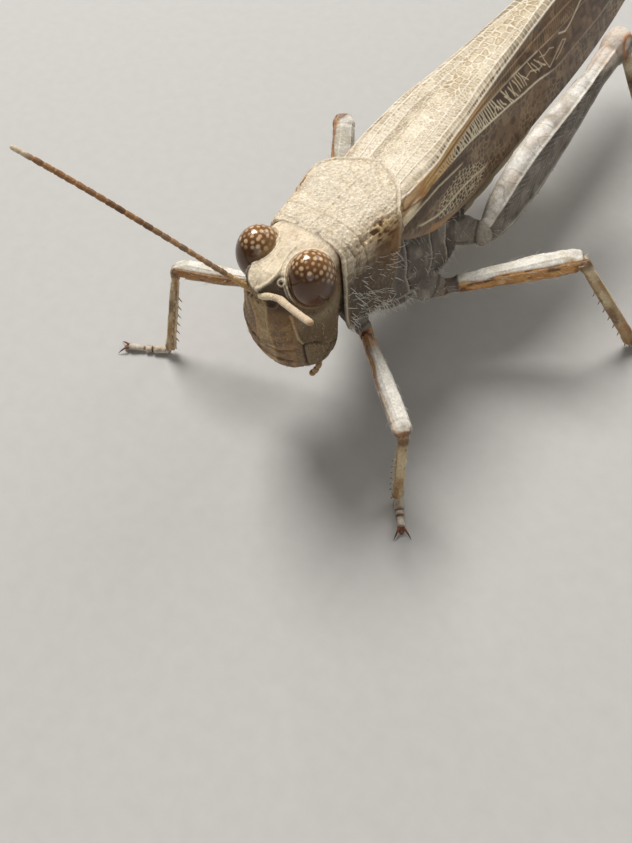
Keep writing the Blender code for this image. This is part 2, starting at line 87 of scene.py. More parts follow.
def _hash(i, j, k, seed):
    with np.errstate(over="ignore"):
        h = (i.astype(np.uint64) * np.uint64(0x9E3779B185EBCA87) + j.astype(np.uint64) * np.uint64(0xC2B2AE3D27D4EB4F)
             + k.astype(np.uint64) * np.uint64(0x165667B19E3779F9) + np.uint64(seed * 0x27D4EB2F165667C5 & 0xFFFFFFFFFFFFFFFF))
        h ^= h >> np.uint64(31)
        h *= np.uint64(0x7FB5D329728EA185)
        h ^= h >> np.uint64(27)
        h *= np.uint64(0x81DADEF4BC2DD44D)
        h ^= h >> np.uint64(33)
    return (h >> np.uint64(11)).astype(np.float64) / float(1 << 53)


def noise(p, scale, seed=0):
    """Value noise from -1 to 1; p in mm, scale in lattice points per mm (a number or one per axis)."""
    q = p * np.asarray(scale, float)
    i = np.floor(q).astype(np.int64)
    f = q - i
    f = f * f * (3 - 2 * f)
    out = 0.0
    for dx in (0, 1):
        for dy in (0, 1):
            for dz in (0, 1):
                w = ((f[..., 0] if dx else 1 - f[..., 0]) * (f[..., 1] if dy else 1 - f[..., 1]) * (f[..., 2] if dz else 1 - f[..., 2]))
                out = out + w * _hash(i[..., 0] + dx, i[..., 1] + dy, i[..., 2] + dz, seed)
    return out * 2 - 1


def fbm(p, scale, octaves=4, seed=0, gain=0.5):
    out, amp, total = 0.0, 1.0, 0.0
    for o in range(octaves):
        out = out + amp * noise(p, np.asarray(scale, float) * 2.03**o, seed + 17 * o)
        total += amp
        amp *= gain
    return out / total


def cells(p, scale, seed=0, jitter=0.85):
    """Distances to the nearest and next nearest scattered point, in lattice units, and the nearest one's own number."""
    q = p * np.asarray(scale, float)
    i = np.floor(q).astype(np.int64)
    f1 = np.full(q.shape[:-1], 9.0)
    f2 = f1.copy()
    own = np.zeros(q.shape[:-1])
    flat = q.shape[-1] == 2
    for dx in (-1, 0, 1):
        for dy in (-1, 0, 1):
            for dz in ((0,) if flat else (-1, 0, 1)):
                a, b = i[..., 0] + dx, i[..., 1] + dy
                c = (i[..., 2] + dz) if not flat else np.zeros_like(a)
                px = a + 0.5 + jitter * (_hash(a, b, c, seed) - 0.5)
                py = b + 0.5 + jitter * (_hash(a, b, c, seed + 1) - 0.5)
                d = (px - q[..., 0]) ** 2 + (py - q[..., 1]) ** 2
                if not flat:
                    pz = c + 0.5 + jitter * (_hash(a, b, c, seed + 2) - 0.5)
                    d = d + (pz - q[..., 2]) ** 2
                d = np.sqrt(d)
                near = d < f1
                f2 = np.where(near, f1, np.minimum(f2, d))
                own = np.where(near, _hash(a, b, c, seed + 3), own)
                f1 = np.where(near, d, f1)
    return f1, f2, own


def stroke(p, line, width, ends=True):
    """1 on a line through the given points and 0 away from it, with a soft edge; p and line in mm."""
    line = np.asarray(line, float)
    best = np.full(p.shape[:-1], 1e9)
    for a, b in zip(line, line[1:]):
        ab = b - a
        t = np.clip(((p - a) @ ab) / (ab @ ab), 0, 1)
        best = np.minimum(best, np.linalg.norm(p - (a + t[..., None] * ab), axis=-1))
    return bell(best, width)


def both_sides(p, line, width):
    line = np.asarray(line, float)
    return np.maximum(stroke(p, line, width), stroke(p, line * [-1, 1, 1], width))


def normals_of(P, closed):
    """Unit normals of a grid of points; the second direction wraps round if closed."""
    du = np.gradient(P, axis=0)
    if closed:
        dv = (np.roll(P, -1, axis=1) - np.roll(P, 1, axis=1)) / 2
    else:
        dv = np.gradient(P, axis=1)
    n = np.cross(du, dv)
    return n / np.maximum(np.linalg.norm(n, axis=-1, keepdims=True), 1e-12)


def outward(P, closed=True):
    n = normals_of(P, closed)
    centre = P.mean(axis=1, keepdims=True)
    if ((P - centre) * n).sum() < 0:
        n = -n
    return n


def srgb(r, g, b):
    c = np.array([r, g, b], float) / 255
    return np.where(c <= 0.04045, c / 12.92, ((c + 0.055) / 1.055) ** 2.4)


def mix(a, b, t):
    t = np.clip(np.asarray(t, float), 0, 1)[..., None]
    return a * (1 - t) + b * t


# ------------------------------------------------------------------ colours of the animal
CREAM = srgb(226, 208, 176)
SAND = srgb(196, 172, 136)
WARM = srgb(176, 132, 84)
RUST = srgb(150, 92, 42)
BROWN = srgb(92, 68, 46)
DARK = srgb(48, 36, 27)
GREYED = srgb(150, 140, 126)
PALE_GREY = srgb(204, 198, 186)
WHITE = srgb(232, 226, 212)
FACE = srgb(168, 148, 120)

# ------------------------------------------------------------------ wings
WING_SECTIONS = [
    (5.20, -0.84, 1.34, 1.72, -1.36),
    (6.10, -0.60, 1.66, 2.04, -1.90),
    (7.00, -0.50, 1.78, 2.28, -2.35),
    (8.50, -0.26, 1.86, 2.48, -2.80),
    (11.0, -0.02, 1.72, 2.54, -3.12),
    (14.0, 0.12, 1.34, 2.50, -3.22),
    (18.0, 0.18, 1.06, 2.46, -3.26),
    (22.0, 0.14, 0.90, 2.34, -3.34),
    (26.0, -0.08, 0.76, 2.06, -3.30),
    (30.0, -0.52, 0.64, 1.62, -3.10),
    (32.2, -1.06, 0.58, 1.22, -2.76),
    (33.4, -1.76, 0.50, 0.78, -2.16),
]


def wing_line(y, over, n):
    """Outer line of the left folded fore wing at y: n points from its inner edge to the lower edge, evenly spaced,
    with each point's distance from the mid line. over is how far the inner edge reaches past the mid line."""
    top, bend, low_x, low_z = along(WING_SECTIONS, y)
    corner = min(0.55, bend * 0.55)
    xs = [-over, 0.0, bend - corner]
    zs = [top - 0.02 - 0.10 * over, top, top - 0.02]
    for a in np.linspace(0, 1, 9)[1:]:
        w = a * math.pi / 2 * 0.86
        xs.append(bend - corner + corner * math.sin(w))
        zs.append(top - 0.02 - corner * (1 - math.cos(w)))
    x0, z0 = xs[-1], zs[-1]
    for a in np.linspace(0, 1, 9)[1:]:
        xs.append(x0 + (low_x - x0) * a**0.85)
        zs.append(z0 + (low_z - z0) * a)
    xs, zs = np.array(xs), np.array(zs)
    run = np.concatenate([[0], np.cumsum(np.hypot(np.diff(xs), np.diff(zs)))])
    at = np.linspace(0, run[-1], n)
    return np.interp(at, run, xs), np.interp(at, run, zs), at - np.interp(0.0, xs[:2], run[:2]), run[-1] - over


def wing_grid(over, rows, cols, tip_round=0.9):
    """Points of the left wing's outer face, the distance s of each from the mid line along the face, and y."""
    y0, y1 = 6.35, 33.34
    ys = np.linspace(y0, y1, rows)
    P = np.zeros((rows, cols, 3))
    S = np.zeros((rows, cols))
    full = np.zeros(rows)
    for r, y in enumerate(ys):
        x, z, s, f = wing_line(y, over, cols)
        P[r, :, 0], P[r, :, 1], P[r, :, 2] = x, y, z
        S[r], full[r] = s, f
    return P, S, full, ys


def yawed(P):
    Q = P.copy()
    Q[..., 0] += WING_YAW * np.maximum(0, Q[..., 1] - YAW_FROM)
    return Q
# ================================================================== end of shared geometry


# ------------------------------------------------------------------ meshes
def new_object(name, verts, faces, colour=None, extra=None, smooth_shade=True):
    """verts in body millimetres; faces an array of quads, or a list of index tuples; colour per vertex, linear."""
    mesh = bpy.data.meshes.new(name)
    verts = place(verts).astype(np.float32)
    if isinstance(faces, np.ndarray):
        n, k = faces.shape
        mesh.vertices.add(len(verts))
        mesh.vertices.foreach_set("co", verts.ravel())
        mesh.loops.add(n * k)
        mesh.loops.foreach_set("vertex_index", faces.astype(np.int32).ravel())
        mesh.polygons.add(n)
        mesh.polygons.foreach_set("loop_start", np.arange(0, n * k, k, dtype=np.int32))
        mesh.update(calc_edges=True)
    else:
        mesh.from_pydata([tuple(v) for v in verts], [], faces)
    mesh.validate(clean_customdata=False)
    if colour is not None:
        layer = mesh.color_attributes.new("Tint", "FLOAT_COLOR", "POINT")
        rgba = np.ones((len(verts), 4), np.float32)
        rgba[:, :3] = np.clip(colour, 0.0, 1.0)
        layer.data.foreach_set("color", rgba.ravel())
    for key, values in (extra or {}).items():
        layer = mesh.attributes.new(key, "FLOAT", "POINT")
        layer.data.foreach_set("value", np.asarray(values, np.float32).ravel())
    if smooth_shade:
        mesh.shade_smooth()
    obj = bpy.data.objects.new(name, mesh)
    bpy.context.scene.collection.objects.link(obj)
    return obj


def grid_faces(rows, cols, closed, start=0, flip=False):
    r, c = np.meshgrid(np.arange(rows - 1), np.arange(cols if closed else cols - 1), indexing="ij")
    r, c = r.ravel(), c.ravel()
    d = (c + 1) % cols
    f = np.stack([r * cols + c, r * cols + d, (r + 1) * cols + d, (r + 1) * cols + c], axis=1) + start
    return f[:, ::-1] if flip else f


class Build:
    """Gathers grids of points into one mesh, with a colour for each point."""

    def __init__(self):
        self.verts, self.colours, self.quads, self.tris, self.count = [], [], [], [], 0

    def grid(self, P, colour, closed=True, cap=(False, False), flip=None):
        rows, cols = P.shape[:2]
        colour = np.broadcast_to(colour, P.shape)
        if flip is None:
            n = normals_of(P, closed)
            centre = P.mean(axis=1, keepdims=True)
            flip = ((P - centre) * n).sum() > 0
        f = grid_faces(rows, cols, closed, self.count, flip)
        self.verts.append(P.reshape(-1, 3))
        self.colours.append(np.asarray(colour).reshape(-1, 3))
        self.quads.append(f)
        base = self.count
        self.count += rows * cols
        for which, row in ((0, 0), (1, rows - 1)):
            if not cap[which]:
                continue
            self.verts.append(P[row].mean(axis=0, keepdims=True))
            self.colours.append(np.asarray(colour)[row].mean(axis=0, keepdims=True))
            k = np.arange(cols)
            ring = base + row * cols + k
            nxt = base + row * cols + (k + 1) % cols
            mid = np.full(cols, self.count)
            t = np.stack([nxt, ring, mid] if (which == 0) != flip else [ring, nxt, mid], axis=1)
            self.tris.append(t)
            self.count += 1
        return base

    def object(self, name):
        verts = np.concatenate(self.verts)
        colours = np.concatenate(self.colours)
        quads = np.concatenate(self.quads) if self.quads else np.zeros((0, 4), int)
        tris = np.concatenate(self.tris) if self.tris else np.zeros((0, 3), int)
        mesh = bpy.data.meshes.new(name)
        mesh.vertices.add(len(verts))
        mesh.vertices.foreach_set("co", place(verts).astype(np.float32).ravel())
        loops = np.concatenate([quads.ravel(), tris.ravel()]).astype(np.int32)
        mesh.loops.add(len(loops))
        mesh.loops.foreach_set("vertex_index", loops)
        starts = np.concatenate([np.arange(len(quads)) * 4, len(quads) * 4 + np.arange(len(tris)) * 3]).astype(np.int32)
        mesh.polygons.add(len(starts))
        mesh.polygons.foreach_set("loop_start", starts)
        mesh.update(calc_edges=True)
        layer = mesh.color_attributes.new("Tint", "FLOAT_COLOR", "POINT")
        rgba = np.ones((len(verts), 4), np.float32)
        rgba[:, :3] = np.clip(colours, 0.0, 1.0)
        layer.data.foreach_set("color", rgba.ravel())
        mesh.shade_smooth()
        obj = bpy.data.objects.new(name, mesh)
        bpy.context.scene.collection.objects.link(obj)
        return obj


# ------------------------------------------------------------------ materials
def shell_material(name, rough=0.5, grain=9000.0, grain_depth=0.25, mottle=0.16, spec=0.4, coat=0.0, bump=0.3,
                   bump_size=0.00003, pit=0.0, pit_scale=14000.0, sss=0.0, tint_dark=0.55, sheen=0.0):
    """A shell's finish: its painted tint, broken up by two sizes of noise, with a fine grain in bump and gloss."""
    mat = bpy.data.materials.new(name)
    mat.use_nodes = True
    nt = mat.node_tree
    shader = nt.nodes["Principled BSDF"]
    shader.inputs["Specular IOR Level"].default_value = spec
    shader.inputs["Coat Weight"].default_value = coat
    shader.inputs["Coat Roughness"].default_value = 0.12
    shader.inputs["Sheen Weight"].default_value = sheen
    shader.inputs["Subsurface Weight"].default_value = sss
    shader.inputs["Subsurface Radius"].default_value = (0.0006, 0.0004, 0.00025)
    shader.inputs["Subsurface Scale"].default_value = 1.0
    link = nt.links.new

    def node(kind, **values):
        n = nt.nodes.new(kind)
        for k, v in values.items():
            if k in n.inputs:
                n.inputs[k].default_value = v
            else:
                setattr(n, k, v)
        return n

    tint = node("ShaderNodeVertexColor")
    tint.layer_name = "Tint"
    co = node("ShaderNodeTexCoord")
    big = node("ShaderNodeTexNoise")
    big.inputs["Scale"].default_value = grain * 0.16
    big.inputs["Detail"].default_value = 4
    fine = node("ShaderNodeTexNoise")
    fine.inputs["Scale"].default_value = grain
    fine.inputs["Detail"].default_value = 3
    link(co.outputs["Object"], big.inputs["Vector"])
    link(co.outputs["Object"], fine.inputs["Vector"])
    ramp = node("ShaderNodeMapRange")
    ramp.inputs["From Min"].default_value = 0.28
    ramp.inputs["From Max"].default_value = 0.72
    ramp.inputs["To Min"].default_value = 1 - mottle
    ramp.inputs["To Max"].default_value = 1 + mottle * 0.8
    link(big.outputs["Fac"], ramp.inputs["Value"])
    ramp2 = node("ShaderNodeMapRange")
    ramp2.inputs["From Min"].default_value = 0.3
    ramp2.inputs["From Max"].default_value = 0.7
    ramp2.inputs["To Min"].default_value = 1 - grain_depth
    ramp2.inputs["To Max"].default_value = 1 + grain_depth * 0.7
    link(fine.outputs["Fac"], ramp2.inputs["Value"])
    times = node("ShaderNodeMath", operation="MULTIPLY")
    link(ramp.outputs["Result"], times.inputs[0])
    link(ramp2.outputs["Result"], times.inputs[1])
    scale = node("ShaderNodeVectorMath", operation="SCALE")
    link(tint.outputs["Color"], scale.inputs[0])
    link(times.outputs["Value"], scale.inputs["Scale"])
    link(scale.outputs["Vector"], shader.inputs["Base Color"])
    gloss = node("ShaderNodeMapRange")
    gloss.inputs["From Min"].default_value = 0.3
    gloss.inputs["From Max"].default_value = 0.7
    gloss.inputs["To Min"].default_value = max(0.05, rough - 0.12)
    gloss.inputs["To Max"].default_value = min(1.0, rough + 0.14)
    link(fine.outputs["Fac"], gloss.inputs["Value"])
    link(gloss.outputs["Result"], shader.inputs["Roughness"])
    b = node("ShaderNodeBump")
    b.inputs["Strength"].default_value = bump
    b.inputs["Distance"].default_value = bump_size
    height = fine.outputs["Fac"]
    if pit:
        spots = node("ShaderNodeTexVoronoi")
        spots.inputs["Scale"].default_value = pit_scale
        link(co.outputs["Object"], spots.inputs["Vector"])
        take = node("ShaderNodeMath", operation="MULTIPLY")
        take.inputs[1].default_value = -pit
        link(spots.outputs["Distance"], take.inputs[0])
        add = node("ShaderNodeMath", operation="ADD")
        link(fine.outputs["Fac"], add.inputs[0])
        link(take.outputs["Value"], add.inputs[1])
        height = add.outputs["Value"]
    link(height, b.inputs["Height"])
    link(b.outputs["Normal"], shader.inputs["Normal"])
    return mat


def finish_piece(obj, mat, slot, *nodes):
    obj.data.materials.append(mat)
    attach(obj, "root")
    if nodes:
        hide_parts(*nodes)
    return obj


# ================================================================== fore wings
VEINS = {
    "anal": [(6.3, 0.80), (8.6, 0.72), (10.8, 0.74), (13.2, 0.54), (15.1, 0.50), (17.0, 0.42), (20, 0.22), (26, 0.16), (33.4, 0.1)],
    "claval": [(6.3, 1.10), (7.7, 1.10), (9.8, 1.21), (11.9, 1.16), (13.8, 0.95), (15.8, 0.82), (17.8, 0.70), (20.6, 0.42), (26, 0.34), (33.4, 0.2)],
    "ridge": [(6.3, 1.45), (7.5, 1.66), (9.0, 1.76), (10.3, 1.64), (11.6, 1.57), (13.2, 1.42), (14.7, 1.28), (15.9, 1.19), (19, 0.92), (21.1, 0.76), (26, 0.60), (33.4, 0.4)],
    "cubitus": [(6.3, 1.75), (8.0, 1.94), (9.0, 1.88), (10.3, 1.78), (12.4, 1.66), (14.5, 1.52), (18, 1.42), (24, 1.30), (33.4, 0.7)],
    "media": [(6.3, 2.02), (8.0, 2.10), (9.5, 2.04), (11.0, 1.92), (12.6, 1.82), (14.7, 1.82), (17.3, 1.85), (20, 1.96), (24, 1.9), (28, 1.6), (33.4, 0.95)],
    "radius": [(6.3, 2.20), (8.5, 2.28), (10.4, 2.34), (11.4, 2.38), (12.5, 2.48), (13.9, 2.60), (15.3, 2.74), (16.4, 2.88), (18.0, 3.03), (20.0, 3.30), (24, 3.20), (28, 2.7), (33.4, 1.4)],
    "subcosta": [(6.3, 2.42), (8.6, 2.60), (10.7, 2.85), (13, 3.04), (16, 3.45), (20, 3.6), (26, 3.3), (33.4, 1.7)],
    "costa": [(6.3, 2.62), (6.8, 2.85), (7.6, 3.30), (9.0, 3.74), (10.4, 3.80), (12.2, 4.02), (14, 4.1), (20, 4.1), (26, 3.6), (33.4, 2.0)],
}


def even_steps(y, lo, hi, slope, start):
    """A count along y of steps whose length grows from lo to hi."""
    grid = np.linspace(5, 34, 900)
    return np.interp(y, grid, np.cumsum(1 / np.clip(lo + slope * (grid - start), lo, hi)) * (grid[1] - grid[0]))


def wing_paint(y, s, full, seed):
    """Relief in mm and colour of the wing's face at y, s from the mid line; full is the face's width there."""
    v = {k: along(t, y)[..., 0] for k, t in VEINS.items()}
    zero2 = np.zeros_like(y)
    p2 = np.stack([y, s, zero2], -1)
    wob = 0.012 * noise(p2, (1.3, 0.4, 1), seed + 5) + 0.007 * noise(p2, (4.2, 0.6, 1), seed + 6)

    def vein(k, w, shift=0.0):
        return bell(s - v[k] - shift + wob, w)

    def ladder(a, b, count, size, slant, jitter, width, sd):
        """Cross veins between two long veins: near 1 on a cross vein; with each cell's own number."""
        t = np.clip((s - v[a]) / np.maximum(v[b] - v[a], 1e-3), 0, 1)
        u = count + slant * (s - v[a]) / size + jitter * noise(np.stack([y * 1.7, t * 1.3, zero2 + 0.3], -1), 1.0, sd)
        f = u - np.floor(u)
        d = np.minimum(f, 1 - f) * size
        zero = np.zeros_like(u, dtype=np.int64)
        return bell(d, width), _hash(np.floor(u).astype(np.int64), zero, zero, sd + 3)

    def between(lo, hi, soft=0.03):
        return smooth(lo - soft, lo + soft, s) * (1 - smooth(hi - soft, hi + soft, s))

    size = np.clip(0.150 + 0.030 * (y - 8.5), 0.150, 0.42)
    U = even_steps(y, 0.150, 0.42, 0.030, 8.5) + 0.35 * noise(np.stack([y, s, zero2], -1), (1.1, 1.6, 1), seed + 33)
    f1, f2, own = cells(np.stack([U * 0.80, s / size * 1.05], -1), 1.0, seed, 0.8)
    net = np.clip(1 - (f2 - f1) / 0.20, 0, 1)
    net = net * net * (3 - 2 * net)
    g1, g2, gown = cells(np.stack([y / 0.26, s / 0.15], -1), 1.0, seed + 9, 0.9)
    net2 = np.clip(1 - (g2 - g1) / 0.34, 0, 1)
    r1, r2, rown = cells(np.stack([(y + 0.5 * s) / 0.21, s / 0.19], -1), 1.0, seed + 12, 0.85)
    net3 = np.clip(1 - (r2 - r1) / 0.42, 0, 1)

    q1, q2, qown = cells(np.stack([(y + 0.35 * s) / 0.36, s / 0.24], -1), 1.0, seed + 15, 0.9)
    net4 = smooth(0.30, 0.04, q2 - q1)

    golden = between(v["ridge"] + 0.02, v["media"])
    rungs = between(v["media"], v["radius"])
    side = smooth(v["radius"] - 0.02, v["radius"] + 0.02, s)

    lines = (vein("anal", 0.026) * 0.7 * (1 - smooth(18, 21, y)) + vein("claval", 0.030) + vein("ridge", 0.045) * 1.2 + vein("cubitus", 0.028) * 0.6
             + vein("media", 0.032) * (1 - 0.6 * smooth(19, 21, y)) + vein("radius", 0.042) * 1.4 * (1 - 0.85 * smooth(18.6, 20.5, y))
             + vein("subcosta", 0.035) * (1 - smooth(10.4, 11.0, y)) * 1.2
             + bell(s - 0.5 * (v["claval"] + v["ridge"]) + wob, 0.022) * 0.8 * smooth(8.0, 9.0, y) * (1 - smooth(15, 17, y))
             + vein("costa", 0.04) * 1.1 * smooth(7.0, 7.6, y) * (1 - smooth(12, 13.5, y)) + bell(s - 0.36 + wob, 0.024) * 0.4 * (1 - smooth(12, 15, y)))
    strip_size = np.clip(0.16 + 0.030 * (y - 13), 0.16, 0.40)
    lad1, id1 = ladder("claval", "ridge", even_steps(y, 0.16, 0.40, 0.030, 13), strip_size, 0.15, 0.35, 0.026, seed + 21)
    lad2, id2 = ladder("anal", "claval", y / 0.19, 0.19, -0.2, 0.6, 0.024, seed + 22)
    lad4, id4 = ladder("ridge", "media", y / 0.22, 0.22, 0.35, 1.2, 0.024, seed + 24)
    in1, in2 = between(v["claval"], v["ridge"]), between(v["anal"], v["claval"])
    inner = 1 - smooth(v["anal"] - 0.03, v["anal"] + 0.03, s)
    far = smooth(14.5, 16.5, y)
    mesh = inner * net * 0.9 + in2 * np.maximum(0.6 * lad2, 0.7 * net) + in1 * np.maximum(lad1 * (0.45 + 0.55 * far), 0.30 * net * (1 - far))
    # between media and radius: thick pale bars with dark cells, then thin bent ones, then almost none
    near, mid_part = 1 - smooth(9.6, 10.6, y), 1 - smooth(15.0, 16.4, y)
    rung = np.zeros_like(y)
    at_y, k = 8.9, 0
    one = np.zeros(1, dtype=np.int64)
    while at_y < 19.2:
        r1, r2, r3, r4 = (float(_hash(one + k, one, one, seed + 60 + j)[0]) for j in range(4))
        wide = float(np.interp(at_y, [9, 14.5, 16, 19], [0.034, 0.036, 0.026, 0.020]))
        lo, hi = (float(along(VEINS[name], np.array([at_y]))[0, 0]) for name in ("media", "radius"))
        a0, a1 = lo + (hi - lo) * (0.0 if at_y < 14 else 0.45 * r1), hi - (hi - lo) * (0.0 if at_y < 14 else 0.40 * r2)
        mid_s = a0 + (a1 - a0) * (0.35 + 0.3 * r3)
        slant = float(np.interp(at_y, [9, 12, 15, 19], [0.10, 0.22, 0.40, 0.55]))
        pts = [(at_y - slant * 0.5, a0), (at_y + 0.16 * (r4 - 0.5), mid_s), (at_y + slant * 0.5, a1)]
        zone = (np.abs(y - at_y) < 0.9) & (s > a0 - 0.2) & (s < a1 + 0.2)
        if zone.any() and not (at_y > 16 and r1 > 0.72):
            rung[zone] = np.maximum(rung[zone], stroke(p2[zone], [(u, w, 0) for u, w in pts], wide))
            if r2 > 0.45 and at_y < 16.5:
                fork = [pts[1], (at_y + (0.20 if r3 > 0.5 else -0.20), a1 if r4 > 0.5 else a0)]
                rung[zone] = np.maximum(rung[zone], stroke(p2[zone], [(u, w, 0) for u, w in fork], wide * 0.85))
        at_y += float(np.interp(at_y, [9, 13, 16, 19], [0.150, 0.185, 0.215, 0.30])) * (0.8 + 0.4 * r3)
        k += 1
    rung = np.clip(rung * 1.15, 0, 1)
    breaks = smooth(0.30, 0.55, noise(np.stack([y, s, zero2], -1), (1.0, 1.7, 1), seed + 31) * 0.5 + 0.5)
    mesh = mesh + rungs * rung + golden * (lad4 * (0.15 + 0.25 * smooth(13, 16, y)) * breaks * (1 - smooth(16, 18, y)))
    patch_line = np.interp(y, [8.2, 8.6, 9.4, 10.4, 11.2, 12.0, 12.6], [3.55, 3.35, 3.12, 3.00, 3.25, 3.62, 4.0])
    patch_low = np.interp(y, [8.0, 8.6, 9.5, 10.5, 11.3, 12.0, 12.6], [3.6, 3.95, 4.30, 4.50, 4.60, 4.45, 4.1])
    patch = side * smooth(8.1, 8.7, y) * (1 - smooth(12.0, 12.7, y)) * smooth(patch_line - 0.06, patch_line + 0.06, s) * (1 - smooth(patch_low - 0.08, patch_low + 0.06, s))
    mesh = mesh + patch * net2 + side * (1 - patch) * 0.35 * net4
    mesh = np.clip(mesh, 0, 1)
    lines = np.clip(lines, 0, 1.4)

    h = 0.032 * lines + 0.015 * mesh * (1 - np.clip(lines, 0, 1)) + 0.008 * (1 - f1) * inner
    h = h - 0.035 * golden * bell(s - (v["cubitus"] + v["media"]) / 2, 0.09) * (1 - smooth(12, 18, y))
    h -= 0.05 * side * bell(s - (v["radius"] + v["subcosta"]) / 2, 0.16) * smooth(7, 9, y) * (1 - smooth(11, 13, y))

    broad, mid, fine = noise(p2, (0.35, 0.9, 1), seed + 51), noise(p2, (1.4, 2.6, 1), seed + 52), noise(p2, (7.0, 9.0, 1), seed + 53)
    on_line = np.clip(lines, 0, 1)
    # upper face
    speck = (own > 0.55 + 0.2 * broad) * smooth(0.30, 0.05, f1)
    cell_tone = mix(srgb(226, 211, 182), srgb(200, 181, 146), 0.5 + 0.5 * mid)
    ringed = smooth(0.12, 0.20, f2 - f1) * (1 - smooth(0.30, 0.46, f2 - f1)) * smooth(0.10, 0.50, own + 0.35 * mid)
    cell_tone = mix(cell_tone, srgb(158, 130, 92), np.clip(0.72 * ringed, 0, 1))
    cell_tone = mix(cell_tone, srgb(160, 132, 98), 0.45 * speck * (0.35 + 0.65 * smooth(0.5, 1.2, s)))
    dors = mix(cell_tone, srgb(248, 240, 222), np.clip(mesh * 0.85 + lines, 0, 1))
    strip = in1 * (1 - lad1) * far
    dors = mix(dors, mix(srgb(178, 160, 128), srgb(140, 122, 92), id1), 0.85 * strip * (1 - on_line))
    hollow = in1 * (1 - lad1) * (1 - far) * smooth(8.4, 9.6, y) * (id1 > 0.25)
    dors = mix(dors, srgb(170, 138, 96), 0.60 * hollow * (1 - on_line))
    dots = bell(s - (v["ridge"] - 0.115), 0.045) * (id1 > 0.38) * smooth(0.75, 0.35, lad1) * smooth(8.3, 9.2, y) * (1 - 0.4 * far)
    dots2 = bell(s - (v["claval"] - 0.09), 0.035) * (id2 > 0.60) * smooth(0.75, 0.35, lad2) * smooth(9.0, 10.5, y) * (1 - far)
    dors = mix(dors, srgb(98, 72, 46), np.clip(0.9 * dots + 0.6 * dots2, 0, 1) * (1 - on_line))
    # the golden band
    gold = mix(srgb(226, 176, 98), srgb(176, 118, 54), 0.5 + 0.5 * noise(p2, (0.9, 9.0, 1), seed + 54))
    gold = mix(gold, srgb(236, 206, 152), np.clip(vein("cubitus", 0.035) + vein("media", 0.045) + 0.3 * lad4, 0, 1) * 0.85)
    gold = mix(gold, srgb(126, 80, 38), 0.75 * bell(s - (v["cubitus"] + v["media"]) / 2, 0.07) * smooth(8.0, 10.0, y))
    blotch = smooth(0.0, 0.5, noise(p2, (2.6, 4.2, 1), seed + 57))
    brown = mix(srgb(132, 100, 66), srgb(98, 72, 46), 0.5 + 0.5 * mid)
    brown = mix(brown, srgb(72, 52, 34), 0.65 * blotch)
    brown = mix(brown, srgb(168, 140, 100), 0.5 * smooth(0.25, 0.6, noise(p2, (1.8, 3.4, 1), seed + 58)))
    brown = mix(brown, srgb(214, 194, 158), np.clip(0.35 * lad4 * breaks + lines, 0, 1) * 0.75)
    gold = mix(gold, brown, smooth(12.6, 15.0, y + 1.6 * (s - v["ridge"])))
    # rungs
    dark = mix(srgb(84, 56, 32), srgb(54, 34, 20), rown)
    dark = mix(dark, srgb(196, 150, 88), 0.75 * near * smooth(0.35, 0.7, rown))
    far_dark = mix(srgb(120, 92, 62), srgb(86, 64, 42), 0.5 + 0.5 * mid)
    far_dark = mix(far_dark, srgb(66, 48, 32), 0.7 * blotch)
    far_dark = mix(far_dark, srgb(150, 124, 92), 0.5 * smooth(0.25, 0.6, noise(p2, (1.8, 3.4, 1), seed + 58)))
    dark = mix(dark, far_dark, smooth(14.5, 16.5, y))
    pale_rung = mix(srgb(240, 224, 188), srgb(226, 184, 118), near * 0.8)
    rungs_tone = mix(dark, pale_rung, np.clip(rung, 0, 1))
    rungs_tone = mix(rungs_tone, srgb(214, 172, 106), 0.75 * (1 - smooth(8.4, 9.2, y)))
    # the side: its own brown, made darker still as painted shade
    costal = mix(srgb(132, 108, 83), srgb(108, 87, 66), 0.5 + 0.5 * broad)
    costal = mix(costal, srgb(74, 54, 38), 0.70 * smooth(0.18, 0.50, noise(p2, (1.7, 3.4, 1), seed + 55)))
    costal = mix(costal, srgb(158, 136, 108), 0.55 * smooth(0.15, 0.55, noise(p2, (2.6, 2.2, 1), seed + 56)))
    costal = mix(costal, srgb(78, 58, 41), 0.55 * smooth(0.10, 0.40, q2 - q1) * (qown > 0.45))
    costal = mix(costal, srgb(172, 150, 120), 0.60 * net4 * smooth(-0.5, 0.2, noise(p2, (0.9, 1.2, 1), seed + 59)))
    costal = mix(costal, srgb(60, 42, 28), 0.55 * (gown > 0.86) * smooth(0.30, 0.12, g1))
    groove = (1 - smooth(v["subcosta"] + 0.35, v["subcosta"] + 0.60, s)) * (1 - smooth(10.8, 12.0, y))
    costal = mix(costal, srgb(78, 58, 40), 0.75 * groove)
    costal = mix(costal, mix(srgb(74, 54, 36), srgb(226, 208, 172), net2), 0.92 * patch)
    edge = smooth(full - 0.40, full - 0.10, s)
    costal = mix(costal, srgb(142, 122, 102), 0.55 * edge * (1 - smooth(11, 16, y)))
    base_edge = smooth(patch_low + 0.02, patch_low + 0.2, s) * (1 - smooth(8.8, 10.5, y))
    costal = mix(costal, srgb(182, 138, 86), 0.8 * base_edge)
    costal = mix(costal, srgb(236, 220, 188), np.clip(vein("costa", 0.045) * smooth(7.0, 7.6, y) * (1 - smooth(11.8, 13, y)) + vein("subcosta", 0.035) * (1 - smooth(10.5, 10.9, y)), 0, 1))
    tone = mix(mix(mix(dors, gold, golden), rungs_tone, rungs), costal, side)
    tone = mix(tone, srgb(244, 232, 206), np.clip(vein("radius", 0.042) * (1 - 0.8 * smooth(18.2, 19.6, y)) * smooth(9.6, 10.6, y), 0, 1))

    def bright(line, w, gain):
        nonlocal tone, h
        k = stroke(p2, [(a, b, 0) for a, b in line], w) * gain
        tone = mix(tone, srgb(240, 226, 198), k)
        h = h + 0.025 * k

